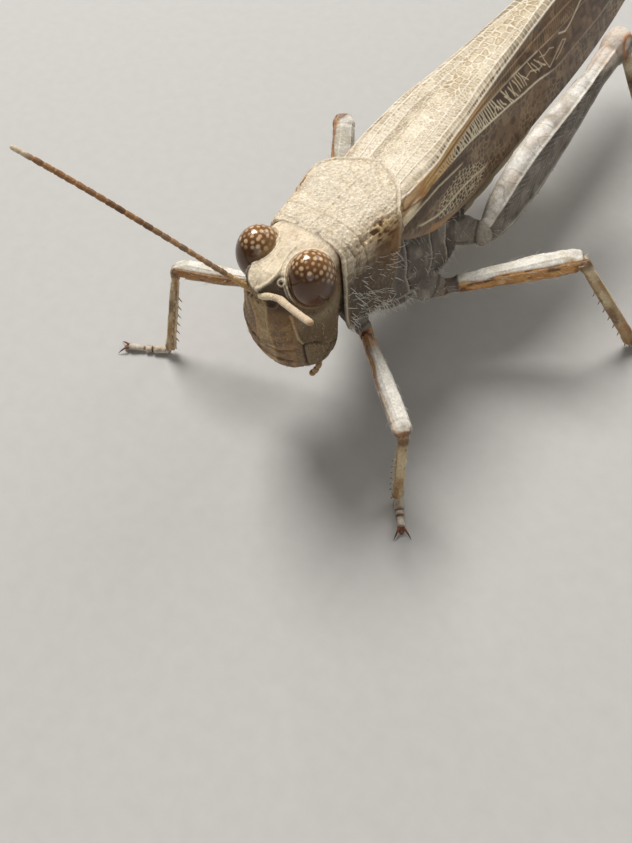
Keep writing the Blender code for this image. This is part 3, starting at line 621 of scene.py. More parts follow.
    bright([(20.6, 2.10), (21.2, 2.28), (21.8, 2.18), (23.4, 1.66), (24.2, 1.55)], 0.036, 0.95)
    bright([(19.2, 3.02), (20.2, 2.70), (20.8, 2.50), (21.1, 2.60), (20.5, 2.84), (19.9, 2.98)], 0.026, 0.8)
    bright([(16.8, 2.44), (17.1, 2.42), (17.5, 2.35), (17.9, 2.52), (18.3, 2.64), (18.6, 2.58), (18.9, 2.74)], 0.028, 0.85)
    bright([(18.5, 2.20), (19.0, 2.34), (19.5, 2.28), (19.9, 2.42)], 0.024, 0.7)
    bright([(15.9, 1.81), (18.4, 1.90)], 0.026, 0.6)
    # the joint plates at the root
    root_plate = smooth(2.36, 2.20, s) * smooth(1.55, 1.68, s) * smooth(6.4, 6.9, y) * (1 - smooth(7.8, 8.3, y))
    tone = mix(tone, mix(srgb(226, 192, 146), srgb(196, 142, 84), smooth(1.75, 2.15, s + 0.25 * (y - 7.2))), 0.9 * root_plate)
    tri = smooth(2.02, 2.12, s + 0.18 * (y - 7)) * (1 - smooth(2.45, 2.55, s)) * (1 - smooth(7.0, 7.9, y))
    tone = mix(tone, srgb(240, 224, 190), 0.9 * tri)
    tone = mix(tone, srgb(74, 48, 28), 0.8 * stroke(p2, [(8.5, 2.26, 0), (8.0, 2.34, 0), (7.2, 2.08, 0), (6.7, 1.98, 0), (6.75, 1.70, 0), (7.2, 1.56, 0), (7.8, 1.62, 0)], 0.032))
    h += 0.05 * root_plate + 0.06 * tri
    tone = tone * (1 + 0.07 * fine + 0.04 * broad)[..., None]
    return h, np.clip(tone, 0.004, 1)


def make_wing(name, side, over, near, far, cols, seed, drop):
    ys = np.concatenate([np.arange(5.24, 21.6, near), np.arange(21.6, 33.3, far), [33.34]])
    rows = len(ys)
    P, S, F = np.zeros((rows, cols, 3)), np.zeros((rows, cols)), np.zeros(rows)
    for r, y in enumerate(ys):
        x, z, s, f = wing_line(y, over, cols)
        P[r, :, 0], P[r, :, 1], P[r, :, 2] = x, y, z
        S[r], F[r] = s, f
    P[..., 2] -= drop * (1 - smooth(0.25, 0.9, S))
    # the fore edge sags and swells a little, as a leathery wing does
    P[..., 2] += 0.035 * noise(P, (0.35, 0.5, 0.35), seed + 70) * smooth(7, 10, P[..., 1])
    n = normals_of(P, False)
    if (n[..., 2] + n[..., 0]).sum() < 0:
        n = -n
    h, tone = wing_paint(P[..., 1], S, F[:, None], seed)
    rim = smooth(0.0, 0.10, F[:, None] - S)
    outer = P + n * (h * rim)[..., None]
    k = np.linspace(cols - 1, 0, 26).astype(int)
    thick = 0.13 + 0.05 * smooth(0, 1, S[:, k] / F[:, None])
    inner = (P - n * 0.0)[:, k] - n[:, k] * thick[..., None]
    ring = np.concatenate([outer, inner], axis=1)
    # painted shade: the inner face takes the outer colours darkened to 0.7
    tones = np.concatenate([tone, tone[:, k] * 0.7], axis=1)
    # the free end closes in
    close = smooth(33.36, 32.9, ring[..., 1])[..., None]
    middle = ring.mean(axis=1, keepdims=True)
    ring = middle + (ring - middle) * (0.25 + 0.75 * close)
    if side < 0:
        ring = ring * [-1, 1, 1]
    b = Build()
    b.grid(yawed(ring), tones, closed=True, cap=(True, True), flip=None)
    return b.object(name)


wing_mat = shell_material("tegmen_finish", rough=0.42, grain=11000, grain_depth=0.16, mottle=0.06, spec=0.45, bump=0.18, bump_size=0.000012, sss=0.0)
left_wing = make_wing("fore_wing_left", 1, 0.30, 0.040, 0.075, 142, 11, 0.0)
finish_piece(left_wing, wing_mat, "tegmen", "tegmen_left")
right_wing = make_wing("fore_wing_right", -1, 0.0, 0.055, 0.085, 112, 77, 0.10)
finish_piece(right_wing, wing_mat, "tegmen", "tegmen_right")


# ================================================================== geometry of the head (numpy only)
HEAD_LEVELS = [
    (0.00, 1.62, 2.14, 0.20, 2.0), (-0.06, 1.30, 2.10, 0.60, 2.0), (-0.20, 0.62, 2.05, 1.00, 2.0), (-0.42, 0.16, 1.95, 1.28, 2.0),
    (-0.62, 0.01, 1.90, 1.42, 2.0), (-1.00, 0.02, 1.85, 1.55, 2.1), (-1.80, 0.07, 1.80, 1.72, 2.2),
    (-2.70, 0.17, 1.75, 1.88, 2.3), (-3.50, 0.29, 1.75, 2.04, 2.3), (-4.20, 0.42, 1.72, 2.08, 2.3),
    (-4.90, 0.56, 1.70, 1.98, 2.3), (-5.60, 0.76, 1.66, 1.52, 2.2), (-6.06, 0.98, 1.64, 1.00, 2.0), (-6.20, 1.24, 1.62, 0.50, 2.0),
]
FACE_LEAN = -0.115
EYE_MID = np.array([1.29, 1.58, -0.64])
EYE_R = np.array([0.86, 0.965, 1.235])


def head_gap(p):
    """Below 0 inside the head, above 0 outside it."""
    tuck = smooth(2.10, 2.80, p[..., 1])
    z = p[..., 2] + 0.02 * tuck
    face, widest, half, square = np.moveaxis(along(HEAD_LEVELS[::-1], z), -1, 0)
    half = half * (1 - tuck * np.interp(-z, [0.2, 0.42, 0.62, 1.0, 1.8, 2.7, 3.5], [-0.18, -0.14, -0.12, -0.07, 0.01, 0.09, 0.18]))
    rear = 3.55 - 0.10 * np.maximum(0, -0.4 - z) / 3 - 0.75 * np.maximum(0, (-3.6 - z) / 2.2) ** 2
    x = (p[..., 0] - FACE_LEAN * np.maximum(0, -2.4 - z)) / half
    y = p[..., 1] - widest
    front = y < 0
    reach = np.where(front, widest - face, np.maximum(rear - widest, 0.2))
    blunt = np.where(front, square, 2.7)
    blunt_y = np.where(front, 1.75, 4.5)
    out = np.abs(x) ** blunt + (np.abs(y) / reach) ** blunt_y - 1
    return np.where((z > 0.0) | (z < -6.20), 1.0, out)


def head_point(d, centre):
    """Where the line from the centre in each direction leaves the head."""
    lo, hi = np.full(d.shape[:-1], 0.15), np.full(d.shape[:-1], 5.0)
    for _ in range(26):
        mid = (lo + hi) / 2
        inside = head_gap(centre + d * mid[..., None]) < 0
        lo, hi = np.where(inside, mid, lo), np.where(inside, hi, mid)
    return centre + d * lo[..., None]
# ================================================================== end of the head's geometry


# ------------------------------------------------------------------ head capsule
def eye_place(side):
    """Middle of an eye; the right one sits a little deeper."""
    return EYE_MID * [side, 1, 1] + (np.array([0.14, 0.0, -0.12]) if side < 0 else 0.0)


def eye_value(p, side):
    """1 on the surface of that side's eye, less inside it."""
    a = math.radians(12)
    q = p - eye_place(side)
    y = q[..., 1] * math.cos(a) + q[..., 2] * math.sin(a)
    z = -q[..., 1] * math.sin(a) + q[..., 2] * math.cos(a)
    return np.sqrt((q[..., 0] / EYE_R[0]) ** 2 + (y / EYE_R[1]) ** 2 + (z / EYE_R[2]) ** 2)


SHIELD = [(0.08, 0.02, -0.66), (0.26, 0.08, -0.56), (0.46, 0.34, -0.38), (0.55, 0.66, -0.25), (0.53, 0.95, -0.15),
          (0.45, 1.25, -0.09), (0.40, 1.60, -0.04), (0.40, 2.00, -0.02)]


def mirrored_stroke(p, line, width):
    return both_sides(p, line, width)


def on_head(line, n=26):
    """The line moved onto the head's surface."""
    line = np.asarray(line, float)
    run = np.concatenate([[0], np.cumsum(np.linalg.norm(np.diff(line, axis=0), axis=1))])
    at = np.linspace(0, run[-1], n)
    path = np.stack([np.interp(at, run, line[:, k]) for k in range(3)], -1)
    centre = np.array([-0.05, 1.70, -2.75])
    d = path - centre
    return head_point(d / np.linalg.norm(d, axis=-1, keepdims=True), centre)


def face_stroke(p, line, width, both=True):
    """1 on a line drawn on the head, and on its mirror image across the leaning mid line of the face."""
    line = np.asarray(line, float)
    out = stroke(p, on_head(line), width)
    if both:
        twin = line.copy()
        twin[:, 0] = -0.20 + 2 * FACE_LEAN * np.maximum(0, -2.4 - line[:, 2]) - line[:, 0]
        out = np.maximum(out, stroke(p, on_head(twin), width))
    return out


def head_paint(p, n):
    """Relief in mm and colour of the head at p."""
    q = p.copy()
    q[..., 0] = p[..., 0] + 0.10 + 0.05 * smooth(-1.0, -0.5, p[..., 2]) - FACE_LEAN * np.maximum(0, -2.4 - p[..., 2])
    u, y, z = q[..., 0], p[..., 1], p[..., 2]
    au = np.abs(u)
    eye = np.minimum(eye_value(p, 1), eye_value(p, -1))
    h = np.zeros_like(u)

    rims = mirrored_stroke(q, SHIELD, 0.055)
    half = np.interp(y, [0.0, 0.08, 0.34, 0.66, 0.95, 1.25, 1.6, 2.0, 2.6], [0.08, 0.26, 0.46, 0.55, 0.53, 0.45, 0.40, 0.40, 0.40])
    in_shield = smooth(half + 0.02, half - 0.12, au) * smooth(-0.75, -0.60, z) * (1 - smooth(1.5, 2.3, y))
    mid_keel = bell(u, 0.035) * in_shield
    inner_eye = smooth(1.55, 1.15, au) * smooth(-1.25, -0.75, z)
    orbit = bell(eye - 1.075, 0.030) * (0.15 + 0.85 * inner_eye) * smooth(-2.0, -1.5, z)
    orbit2 = bell(eye - 1.17, 0.025) * smooth(-1.2, -0.6, z) * smooth(0.9, 0.5, np.abs(y - 1.0)) * inner_eye
    # the front ridge of the face: two keels that run down from the sockets
    ridge_at = np.interp(-z, [0.6, 1.0, 1.3, 1.6, 2.1, 2.6, 3.2, 4.2], [0.20, 0.30, 0.40, 0.38, 0.30, 0.27, 0.30, 0.42])
    front = (y < 1.3) & (z < -0.55)
    keels = bell(au - ridge_at, 0.045) * smooth(-0.62, -0.9, z) * smooth(-4.4, -3.6, z) * front
    trough = smooth(ridge_at, ridge_at - 0.14, au) * smooth(-0.9, -1.2, z) * smooth(-4.2, -3.4, z) * front
    lateral = face_stroke(p, [(1.10, 0.46, -1.75), (1.15, 0.50, -2.09), (1.20, 0.55, -2.56), (1.23, 0.60, -3.02), (1.32, 0.76, -3.45)], 0.045)
    cheek_fold = face_stroke(p, [(1.52, 1.0, -1.85), (1.56, 1.0, -2.3), (1.50, 0.95, -2.8), (1.40, 0.85, -3.2)], 0.05)
    under_eye = face_stroke(p, [(1.20, 0.55, -2.56), (1.30, 0.70, -2.90), (1.34, 0.75, -3.30)], 0.04) * 0.6 + 0.5 * cheek_fold
    socket = np.minimum(np.linalg.norm(q - [0.56, 0.17, -1.12], axis=-1), np.linalg.norm(q - [-0.42, 0.14, -1.12], axis=-1))
    mid_eye = np.linalg.norm((q - [0.0, 0.05, -1.42]), axis=-1)
    side_eye = np.minimum(np.linalg.norm(q - [0.84, 0.60, -0.38], axis=-1), np.linalg.norm(q - [-0.84, 0.60, -0.38], axis=-1))
    arch = -4.52 + 0.62 * (au / 1.3) ** 2 + 0.05 * np.sin(u * 9.0)
    clyp = bell(z - arch, 0.045) * smooth(1.45, 1.25, au) * front * (0.55 + 0.45 * noise(p, 2.5, 345))
    clyp_area = smooth(arch + 0.02, arch - 0.10, z) * smooth(1.45, 1.25, au) * front
    lip = -5.18 + 0.22 * au**2
    labrum_line = bell(z - lip, 0.045) * smooth(1.25, 1.0, au) * front
    labrum_area = smooth(lip + 0.02, lip - 0.1, z) * smooth(1.15, 0.95, au) * front
    genal = face_stroke(p, [(1.32, 0.76, -3.50), (1.45, 0.90, -3.42), (1.65, 1.09, -3.46), (1.84, 1.45, -3.75), (1.95, 1.80, -4.05), (1.98, 2.2, -4.3)], 0.042)
    mandible_edge = face_stroke(p, [(1.32, 0.76, -3.50), (1.26, 0.82, -3.75), (1.22, 0.90, -4.20), (1.14, 1.05, -4.80), (1.20, 1.20, -5.15), (1.45, 1.40, -5.10), (1.66, 1.48, -4.75), (1.86, 1.60, -4.20), (1.93, 1.80, -4.05)], 0.05)
    mandible = smooth(1.42, 1.50, au) * smooth(-3.50, -3.70, z) * smooth(2.0, 1.7, y)
    behind_eye = bell(eye - 1.07, 0.035) * smooth(1.7, 2.0, y) * smooth(-1.9, -1.5, z)

    # relief
    h += 0.062 * rims - 0.060 * in_shield + 0.025 * mid_keel + 0.05 * orbit + 0.02 * orbit2
    h += 0.055 * keels - 0.045 * trough + 0.05 * lateral - 0.035 * under_eye + 0.03 * behind_eye
    h += -0.08 * smooth(0.26, 0.12, socket) + 0.025 * bell(socket - 0.28, 0.05)
    h += -0.05 * smooth(0.10, 0.03, mid_eye) + 0.03 * bell(mid_eye - 0.12, 0.03)
    h += 0.055 * smooth(0.10, 0.02, side_eye) + 0.035 * bell(side_eye - 0.13, 0.03) - 0.03 * bell(side_eye - 0.21, 0.05)
    h += -0.085 * clyp - 0.08 * labrum_line - 0.075 * genal - 0.085 * mandible_edge + 0.035 * clyp_area + 0.03 * labrum_area + 0.045 * mandible
    h += -0.05 * bell(u, 0.05) * labrum_area * smooth(-5.4, -5.7, z)
    h += -0.10 * bell(eye - 1.18, 0.10) * smooth(-0.9, -1.4, z) * smooth(-2.9, -2.2, z)
    temple = bell(au - 0.82, 0.22) * bell(y - 0.55, 0.30) * smooth(-1.6, -0.9, z)
    h += -0.045 * temple
    crown = smooth(-0.75, -0.35, z) * smooth(1.4, 2.0, y)
    wrinkle = 1 - np.abs(fbm(q, (4.5, 2.6, 4.5), 3, 301)) * 2.2
    h += 0.020 * crown * np.clip(wrinkle, -1, 1)
    face = smooth(-0.6, -1.0, z)
    f1, f2, own = cells(p, 7.5, 311, 0.9)
    g1, g2, gown = cells(p, 13.0, 312, 0.9)
    dimple = smooth(0.45, 0.15, f1) * (own > 0.35)
    h += -0.020 * dimple * face * (1 - 0.6 * clyp_area) + 0.010 * (0.5 - g1) + 0.012 * fbm(p, 3.2, 3, 320)
    h += 0.010 * (0.5 - f1) * in_shield

    # colours
    broad, mid, fine = noise(p, 1.1, 331), noise(p, 3.1, 332), noise(p, 11.0, 333)
    top = smooth(-0.95, -0.35, z + 0.10 * mid)
    veil = noise(q * [3.0, 1.0, 1.1], 2.4, 334)                       # faint streaks down the face
    # the face's own brown, darkened further as painted shade
    tone = mix(srgb(150, 120, 84), srgb(120, 93, 62), 0.5 + 0.5 * broad)
    tone = mix(tone, srgb(146, 124, 92), 0.5 * smooth(0.1, 0.8, mid))
    tone = mix(tone, srgb(92, 72, 50), 0.35 * smooth(0.15, 0.7, -veil))
    tone = mix(tone, srgb(110, 92, 68), 0.75 * smooth(1.30, 1.60, au) * smooth(-1.6, -2.2, z))        # greyer cheeks
    tone = mix(tone, srgb(166, 150, 120), 0.40 * smooth(1.30, 1.50, au) * bell(z + 2.15, 0.35))
    tone = mix(tone, mix(srgb(188, 168, 134), srgb(152, 130, 98), smooth(-0.2, 0.5, fbm(q, (2.2, 2.2, 1.2), 3, 338) * 2)), 0.88 * smooth(ridge_at + 0.02, ridge_at - 0.08, au) * smooth(-1.2, -1.6, z) * front)
    tone = mix(tone, srgb(116, 90, 62), 0.35 * trough * smooth(-2.0, -1.2, z))
    tone = mix(tone, srgb(100, 76, 50), 0.55 * smooth(ridge_at + 0.02, ridge_at + 0.16, au) * smooth(1.28, 1.16, au) * smooth(-1.4, -1.8, z) * front)
    ripple = smooth(0.10, 0.55, fbm(q * [1.0, 1.0, 1.6] + [0, 0, 0.6] * np.sin(3.1 * u)[..., None], (2.6, 2.6, 3.8), 3, 336) * 2.0)
    tone = mix(tone, srgb(150, 122, 88), 0.60 * ripple * smooth(ridge_at + 0.05, ridge_at + 0.15, au) * smooth(1.25, 1.10, au) * smooth(-1.9, -2.4, z) * front)
    cream = mix(srgb(234, 218, 192), srgb(216, 196, 166), 0.5 + 0.5 * mid)
    tone = mix(tone, cream, top)
    tone = mix(tone, srgb(232, 216, 186), 0.7 * in_shield)
    tone = mix(tone, srgb(196, 176, 142), 0.40 * in_shield * smooth(0.0, 0.6, noise(p, 5.0, 335)))
    # painted shade: near black in the hollow beside the brow shield, in front of and below the eye
    hollow = smooth(half + 0.02, half + 0.12, au) * smooth(0.95, 0.62, y) * smooth(-1.95, -1.35, z) * smooth(1.34, 1.16, au)
    tone = mix(tone, mix(srgb(70, 48, 28), srgb(46, 31, 19), 0.5 + 0.5 * mid), 0.94 * hollow)
    # painted shade: darker round the eye's lower edge on the face
    eye_rim_painted_shade = bell(eye - 1.12, 0.12) * smooth(-0.6, -1.1, z)
    tone = mix(tone, srgb(98, 76, 52), 0.6 * eye_rim_painted_shade)
    tone = mix(tone, srgb(64, 46, 30), 0.75 * smooth(0.28, 0.14, socket))
    tone = mix(tone, srgb(150, 124, 88), 0.35 * bell(socket - 0.30, 0.04) * smooth(-0.9, -1.2, z))
    pale = np.clip(rims + 0.9 * orbit + 0.6 * orbit2 + 0.3 * mid_keel, 0, 1)
    tone = mix(tone, srgb(246, 232, 204), np.clip(pale + 0.8 * behind_eye, 0, 1))
    tone = mix(tone, srgb(196, 172, 134), np.clip(0.80 * keels + 0.95 * lateral, 0, 1) * face)
    # painted light: a paler patch on one side of the face only, where the key light falls
    tone = mix(tone, srgb(206, 188, 152), 0.6 * bell(au - 0.98, 0.20) * bell(z + 2.2, 0.45) * (u < 0) * front)
    tone = mix(tone, srgb(50, 34, 22), np.clip(0.6 * clyp + 0.85 * labrum_line + 1.0 * genal + 1.0 * mandible_edge, 0, 1))
    tone = mix(tone, srgb(52, 36, 24), 0.6 * under_eye * (0.6 + 0.4 * mid))
    low_face = smooth(-3.4, -4.0, z) * smooth(1.35, 1.15, au) * front
    slant = fbm(np.stack([u * 0.8 + 0.5 * z, y * 0.2, z - 0.5 * u + 0.25 * noise(p, 1.4, 343)], -1), (1.8, 1, 4.2), 3, 342) * 1.6
    tone = mix(tone, srgb(162, 128, 96), 0.70 * low_face * smooth(-0.1, 0.6, slant))
    tone = mix(tone, srgb(84, 60, 40), 0.55 * low_face * smooth(0.1, 0.6, -slant))
    tone = mix(tone, srgb(132, 112, 84), 0.8 * mandible * (1 - np.clip(mandible_edge, 0, 1)))
    tone = mix(tone, srgb(236, 222, 190), 0.8 * bell(side_eye - 0.125, 0.03))
    tone = mix(tone, srgb(52, 34, 20), 0.9 * smooth(0.09, 0.05, side_eye) + 0.6 * smooth(0.09, 0.06, mid_eye))
    tone = mix(tone, srgb(176, 152, 114), 0.4 * bell(mid_eye - 0.12, 0.03))
    tone = mix(tone, srgb(76, 56, 38), 0.45 * dimple * face)
    tone = mix(tone, srgb(176, 144, 98), 0.45 * crown * smooth(0.2, -0.5, wrinkle))
    # painted shade: darker at the back of the head, where it tucks under the pronotum
    tone = mix(tone, srgb(96, 74, 52), 0.7 * smooth(2.75, 3.05, y))
    tone = tone * mix(np.array([1.0, 1.0, 1.0]), np.array([1.15, 1.07, 0.90]), face * smooth(-0.9, -1.5, z) * smooth(1.45, 1.15, au))
    tone = tone * (1 + 0.10 * fine + 0.05 * broad)[..., None]
    return h, np.clip(tone, 0.004, 1)


def make_head():
    centre = np.array([-0.05, 1.70, -2.75])
    n = 118
    b = Build()
    edges = np.tan(np.linspace(-math.pi / 4, math.pi / 4, n))
    a, c = np.meshgrid(edges, edges, indexing="ij")
    one = np.ones_like(a)
    for axis in range(3):
        for sign in (1, -1):
            d = np.zeros(a.shape + (3,))
            d[..., axis] = sign * one
            d[..., (axis + 1) % 3] = a
            d[..., (axis + 2) % 3] = c
            d[..., 2] *= 1.35
            d /= np.linalg.norm(d, axis=-1, keepdims=True)
            p = head_point(d, centre)
            e = 0.03
            g = np.stack([head_gap(p * 0.999 + centre * 0.001 + np.eye(3)[k] * e) - head_gap(p * 0.999 + centre * 0.001 - np.eye(3)[k] * e) for k in range(3)], -1)
            flat = (p[..., 2] > -0.05)
            g = np.where(flat[..., None], np.array([0, 0, 1.0]), g)
            g = g / np.maximum(np.linalg.norm(g, axis=-1, keepdims=True), 1e-9)
            h, tone = head_paint(p, g)
            p = p + g * h[..., None]
            normal = normals_of(p, False)
            b.grid(p, tone, closed=False, flip=bool((normal * (p - centre)).sum() > 0))
    obj = b.object("head_shell")
    import bmesh
    bm = bmesh.new()
    bm.from_mesh(obj.data)
    bmesh.ops.remove_doubles(bm, verts=bm.verts, dist=0.000004)
    bm.to_mesh(obj.data)
    bm.free()
    obj.data.shade_smooth()
    return obj


head_mat = shell_material("head_finish", rough=0.55, grain=12000, grain_depth=0.22, mottle=0.10, spec=0.35, bump=0.35, bump_size=0.00002)
head_obj = finish_piece(make_head(), head_mat, "head_shell", "head")


# ------------------------------------------------------------------ eyes
def make_eye(side, name):
    rows, cols = 120, 180
    th = np.linspace(0.02, math.pi - 0.02, rows)
    ph = np.linspace(0, 2 * math.pi, cols, endpoint=False)
    t, f = np.meshgrid(th, ph, indexing="ij")
    d = np.stack([np.sin(t) * np.cos(f), np.sin(t) * np.sin(f), np.cos(t)], -1)
    a = math.radians(12)
    p = d * EYE_R
    rot = np.stack([p[..., 0], p[..., 1] * math.cos(a) - p[..., 2] * math.sin(a), p[..., 1] * math.sin(a) + p[..., 2] * math.cos(a)], -1)
    p = rot + eye_place(side)
    # pale round spots in rows over the upper half, plain below; where they fade out on the side away from the key light
    # it is partly their own pattern and partly painted shade
    up = d[..., 2]
    around = np.arctan2(d[..., 1], d[..., 0] * side) * 0.90
    high = np.arcsin(np.clip(up, -1, 1)) * 1.10
    step = 0.240
    best, own = np.full(up.shape, 9.0), np.zeros(up.shape)
    row = np.floor(high / step).astype(np.int64)
    for dr in (-1, 0, 1):
        r = row + dr
        ring = np.cos((r + 0.5) * step / 1.10)
        width = step / np.maximum(ring, 0.18)
        shift = 0.5 * (r % 2)
        col = np.floor(around / width - shift).astype(np.int64)
        for dc in (-1, 0, 1):
            k = col + dc
            z0 = np.zeros_like(k)
            jx = 0.22 * (_hash(r, k, z0, 401) - 0.5)
            jy = 0.22 * (_hash(r, k, z0, 402) - 0.5)
            dist = np.hypot((around - (k + 0.5 + shift + jx) * width) * ring, high - (r + 0.5 + jy) * step)
            near = dist < best
            best = np.where(near, dist, best)
            own = np.where(near, _hash(r, k, z0, 403), own)
    size = 0.046 + 0.030 * own
    facing_light = d[..., 1] * 0.70 + d[..., 2] * 0.71
    zone = smooth(0.02, 0.42, facing_light + 0.10 * noise(d, 3.0, 404))
    spot = smooth(size + 0.036, size - 0.022, best) * zone * (0.35 + 0.65 * smooth(0.1, 0.8, own * 0.7 + 0.3 * up))
    tone = mix(srgb(94, 58, 24), srgb(68, 40, 15), 0.5 + 0.5 * noise(d, 2.2, 405))
    # painted light and shade: paler brown on the side facing the key light, darker brown on the side away from it
    tone = mix(tone, srgb(146, 102, 62), 0.80 * smooth(0.15, 0.85, facing_light))
    tone = mix(tone, srgb(92, 54, 18), 0.8 * smooth(0.0, -0.7, facing_light))
    clump = noise(d, 4.5, 407)
    tone = mix(tone, srgb(96, 62, 36), 0.55 * smooth(0.1, 0.6, clump) * zone)
    wave = np.sin(high * 13.0 + 1.5 * noise(d, 2.0, 406))
    streak = smooth(0.35, 0.8, np.abs(wave)) * smooth(0.35, 0.75, -d[..., 0] * side) * bell(up - 0.30, 0.45) * smooth(0.5, -0.1, d[..., 1])
    tone = mix(tone, srgb(206, 166, 112), 0.70 * streak)
    tone = mix(tone, srgb(228, 194, 150), 0.95 * spot)
    rim = smooth(-0.45, -0.80, d[..., 0] * side)
    tone = mix(tone, srgb(150, 120, 84), 0.45 * rim)
    p = p + (d / EYE_R) * (0.003 * spot)[..., None]
    b = Build()
    b.grid(p, tone, closed=True, cap=(True, True))
    return b.object(name)


def eye_material():
    mat = shell_material("eye_finish", rough=0.55, grain=26000, grain_depth=0.08, mottle=0.05, spec=0.02, coat=0.9, bump=0.0, bump_size=0.000004)
    nt = mat.node_tree
    shader = nt.nodes["Principled BSDF"]
    shader.inputs["Coat Roughness"].default_value = 0.06
    shader.inputs["Coat IOR"].default_value = 1.60
    facet = nt.nodes.new("ShaderNodeTexVoronoi")
    facet.inputs["Scale"].default_value = 34000
    co = [n for n in nt.nodes if n.bl_idname == "ShaderNodeTexCoord"][0]
    nt.links.new(co.outputs["Object"], facet.inputs["Vector"])
    bump = nt.nodes.new("ShaderNodeBump")
    bump.inputs["Strength"].default_value = 0.10
    bump.inputs["Distance"].default_value = 0.000006
    bump.invert = True
    nt.links.new(facet.outputs["Distance"], bump.inputs["Height"])
    nt.links.new(bump.outputs["Normal"], shader.inputs["Normal"])
    return mat


eye_mat = eye_material()
finish_piece(make_eye(1, "eye_dome_left"), eye_mat, "eye", "eye_left")
finish_piece(make_eye(-1, "eye_dome_right"), eye_mat, "eye", "eye_right")


# ------------------------------------------------------------------ tubes
def resample(points, n, ease=None):
    """n points along a smooth line through the given ones."""
    pts = np.asarray(points, float)
    run = np.concatenate([[0], np.cumsum(np.linalg.norm(np.diff(pts, axis=0), axis=1))])
    at = (np.linspace(0, 1, n) if ease is None else ease) * run[-1]
    if len(pts) == 2:
        return pts[0] + (pts[1] - pts[0]) * (at / run[-1])[:, None], at
    m = np.gradient(pts, run, axis=0)
    i = np.clip(np.searchsorted(run, at, "right") - 1, 0, len(run) - 2)
    hh = (run[i + 1] - run[i])[:, None]
    s = ((at - run[i])[:, None]) / hh
    out = ((2 * s**3 - 3 * s**2 + 1) * pts[i] + (s**3 - 2 * s**2 + s) * hh * m[i]
           + (3 * s**2 - 2 * s**3) * pts[i + 1] + (s**3 - s**2) * hh * m[i + 1])
    return out, at


def sweep(path, wide, tall, cols, up, power=2.0):
    """Rings along a path. wide and tall are half sizes across and along up, one number for each point."""
    t = np.gradient(path, axis=0)
    t /= np.linalg.norm(t, axis=1, keepdims=True)
    up = np.broadcast_to(np.asarray(up, float), path.shape)
    side = np.cross(t, up)
    side /= np.linalg.norm(side, axis=1, keepdims=True)
    top = np.cross(side, t)
    a = np.linspace(0, 2 * math.pi, cols, endpoint=False)
    c, s = spow(np.cos(a), 2 / power), spow(np.sin(a), 2 / power)
    wide, tall = np.broadcast_to(wide, len(path)), np.broadcast_to(tall, len(path))
    P = path[:, None] + side[:, None] * (wide[:, None] * c)[..., None] + top[:, None] * (tall[:, None] * s)[..., None]
    return P, a, t, side, top


BENT_FEELER = [(0.117, -0.025, -0.847),
               (0.319, 0.023, -0.793),
               (0.666, -0.025, -0.551),
               (1.217, -0.222, -0.114),
               (2.172, -0.876, 0.817),
               (3.711, -2.069, 2.539),
               (4.979, -3.119, 4.094),
               (5.84, -3.831, 5.158)]


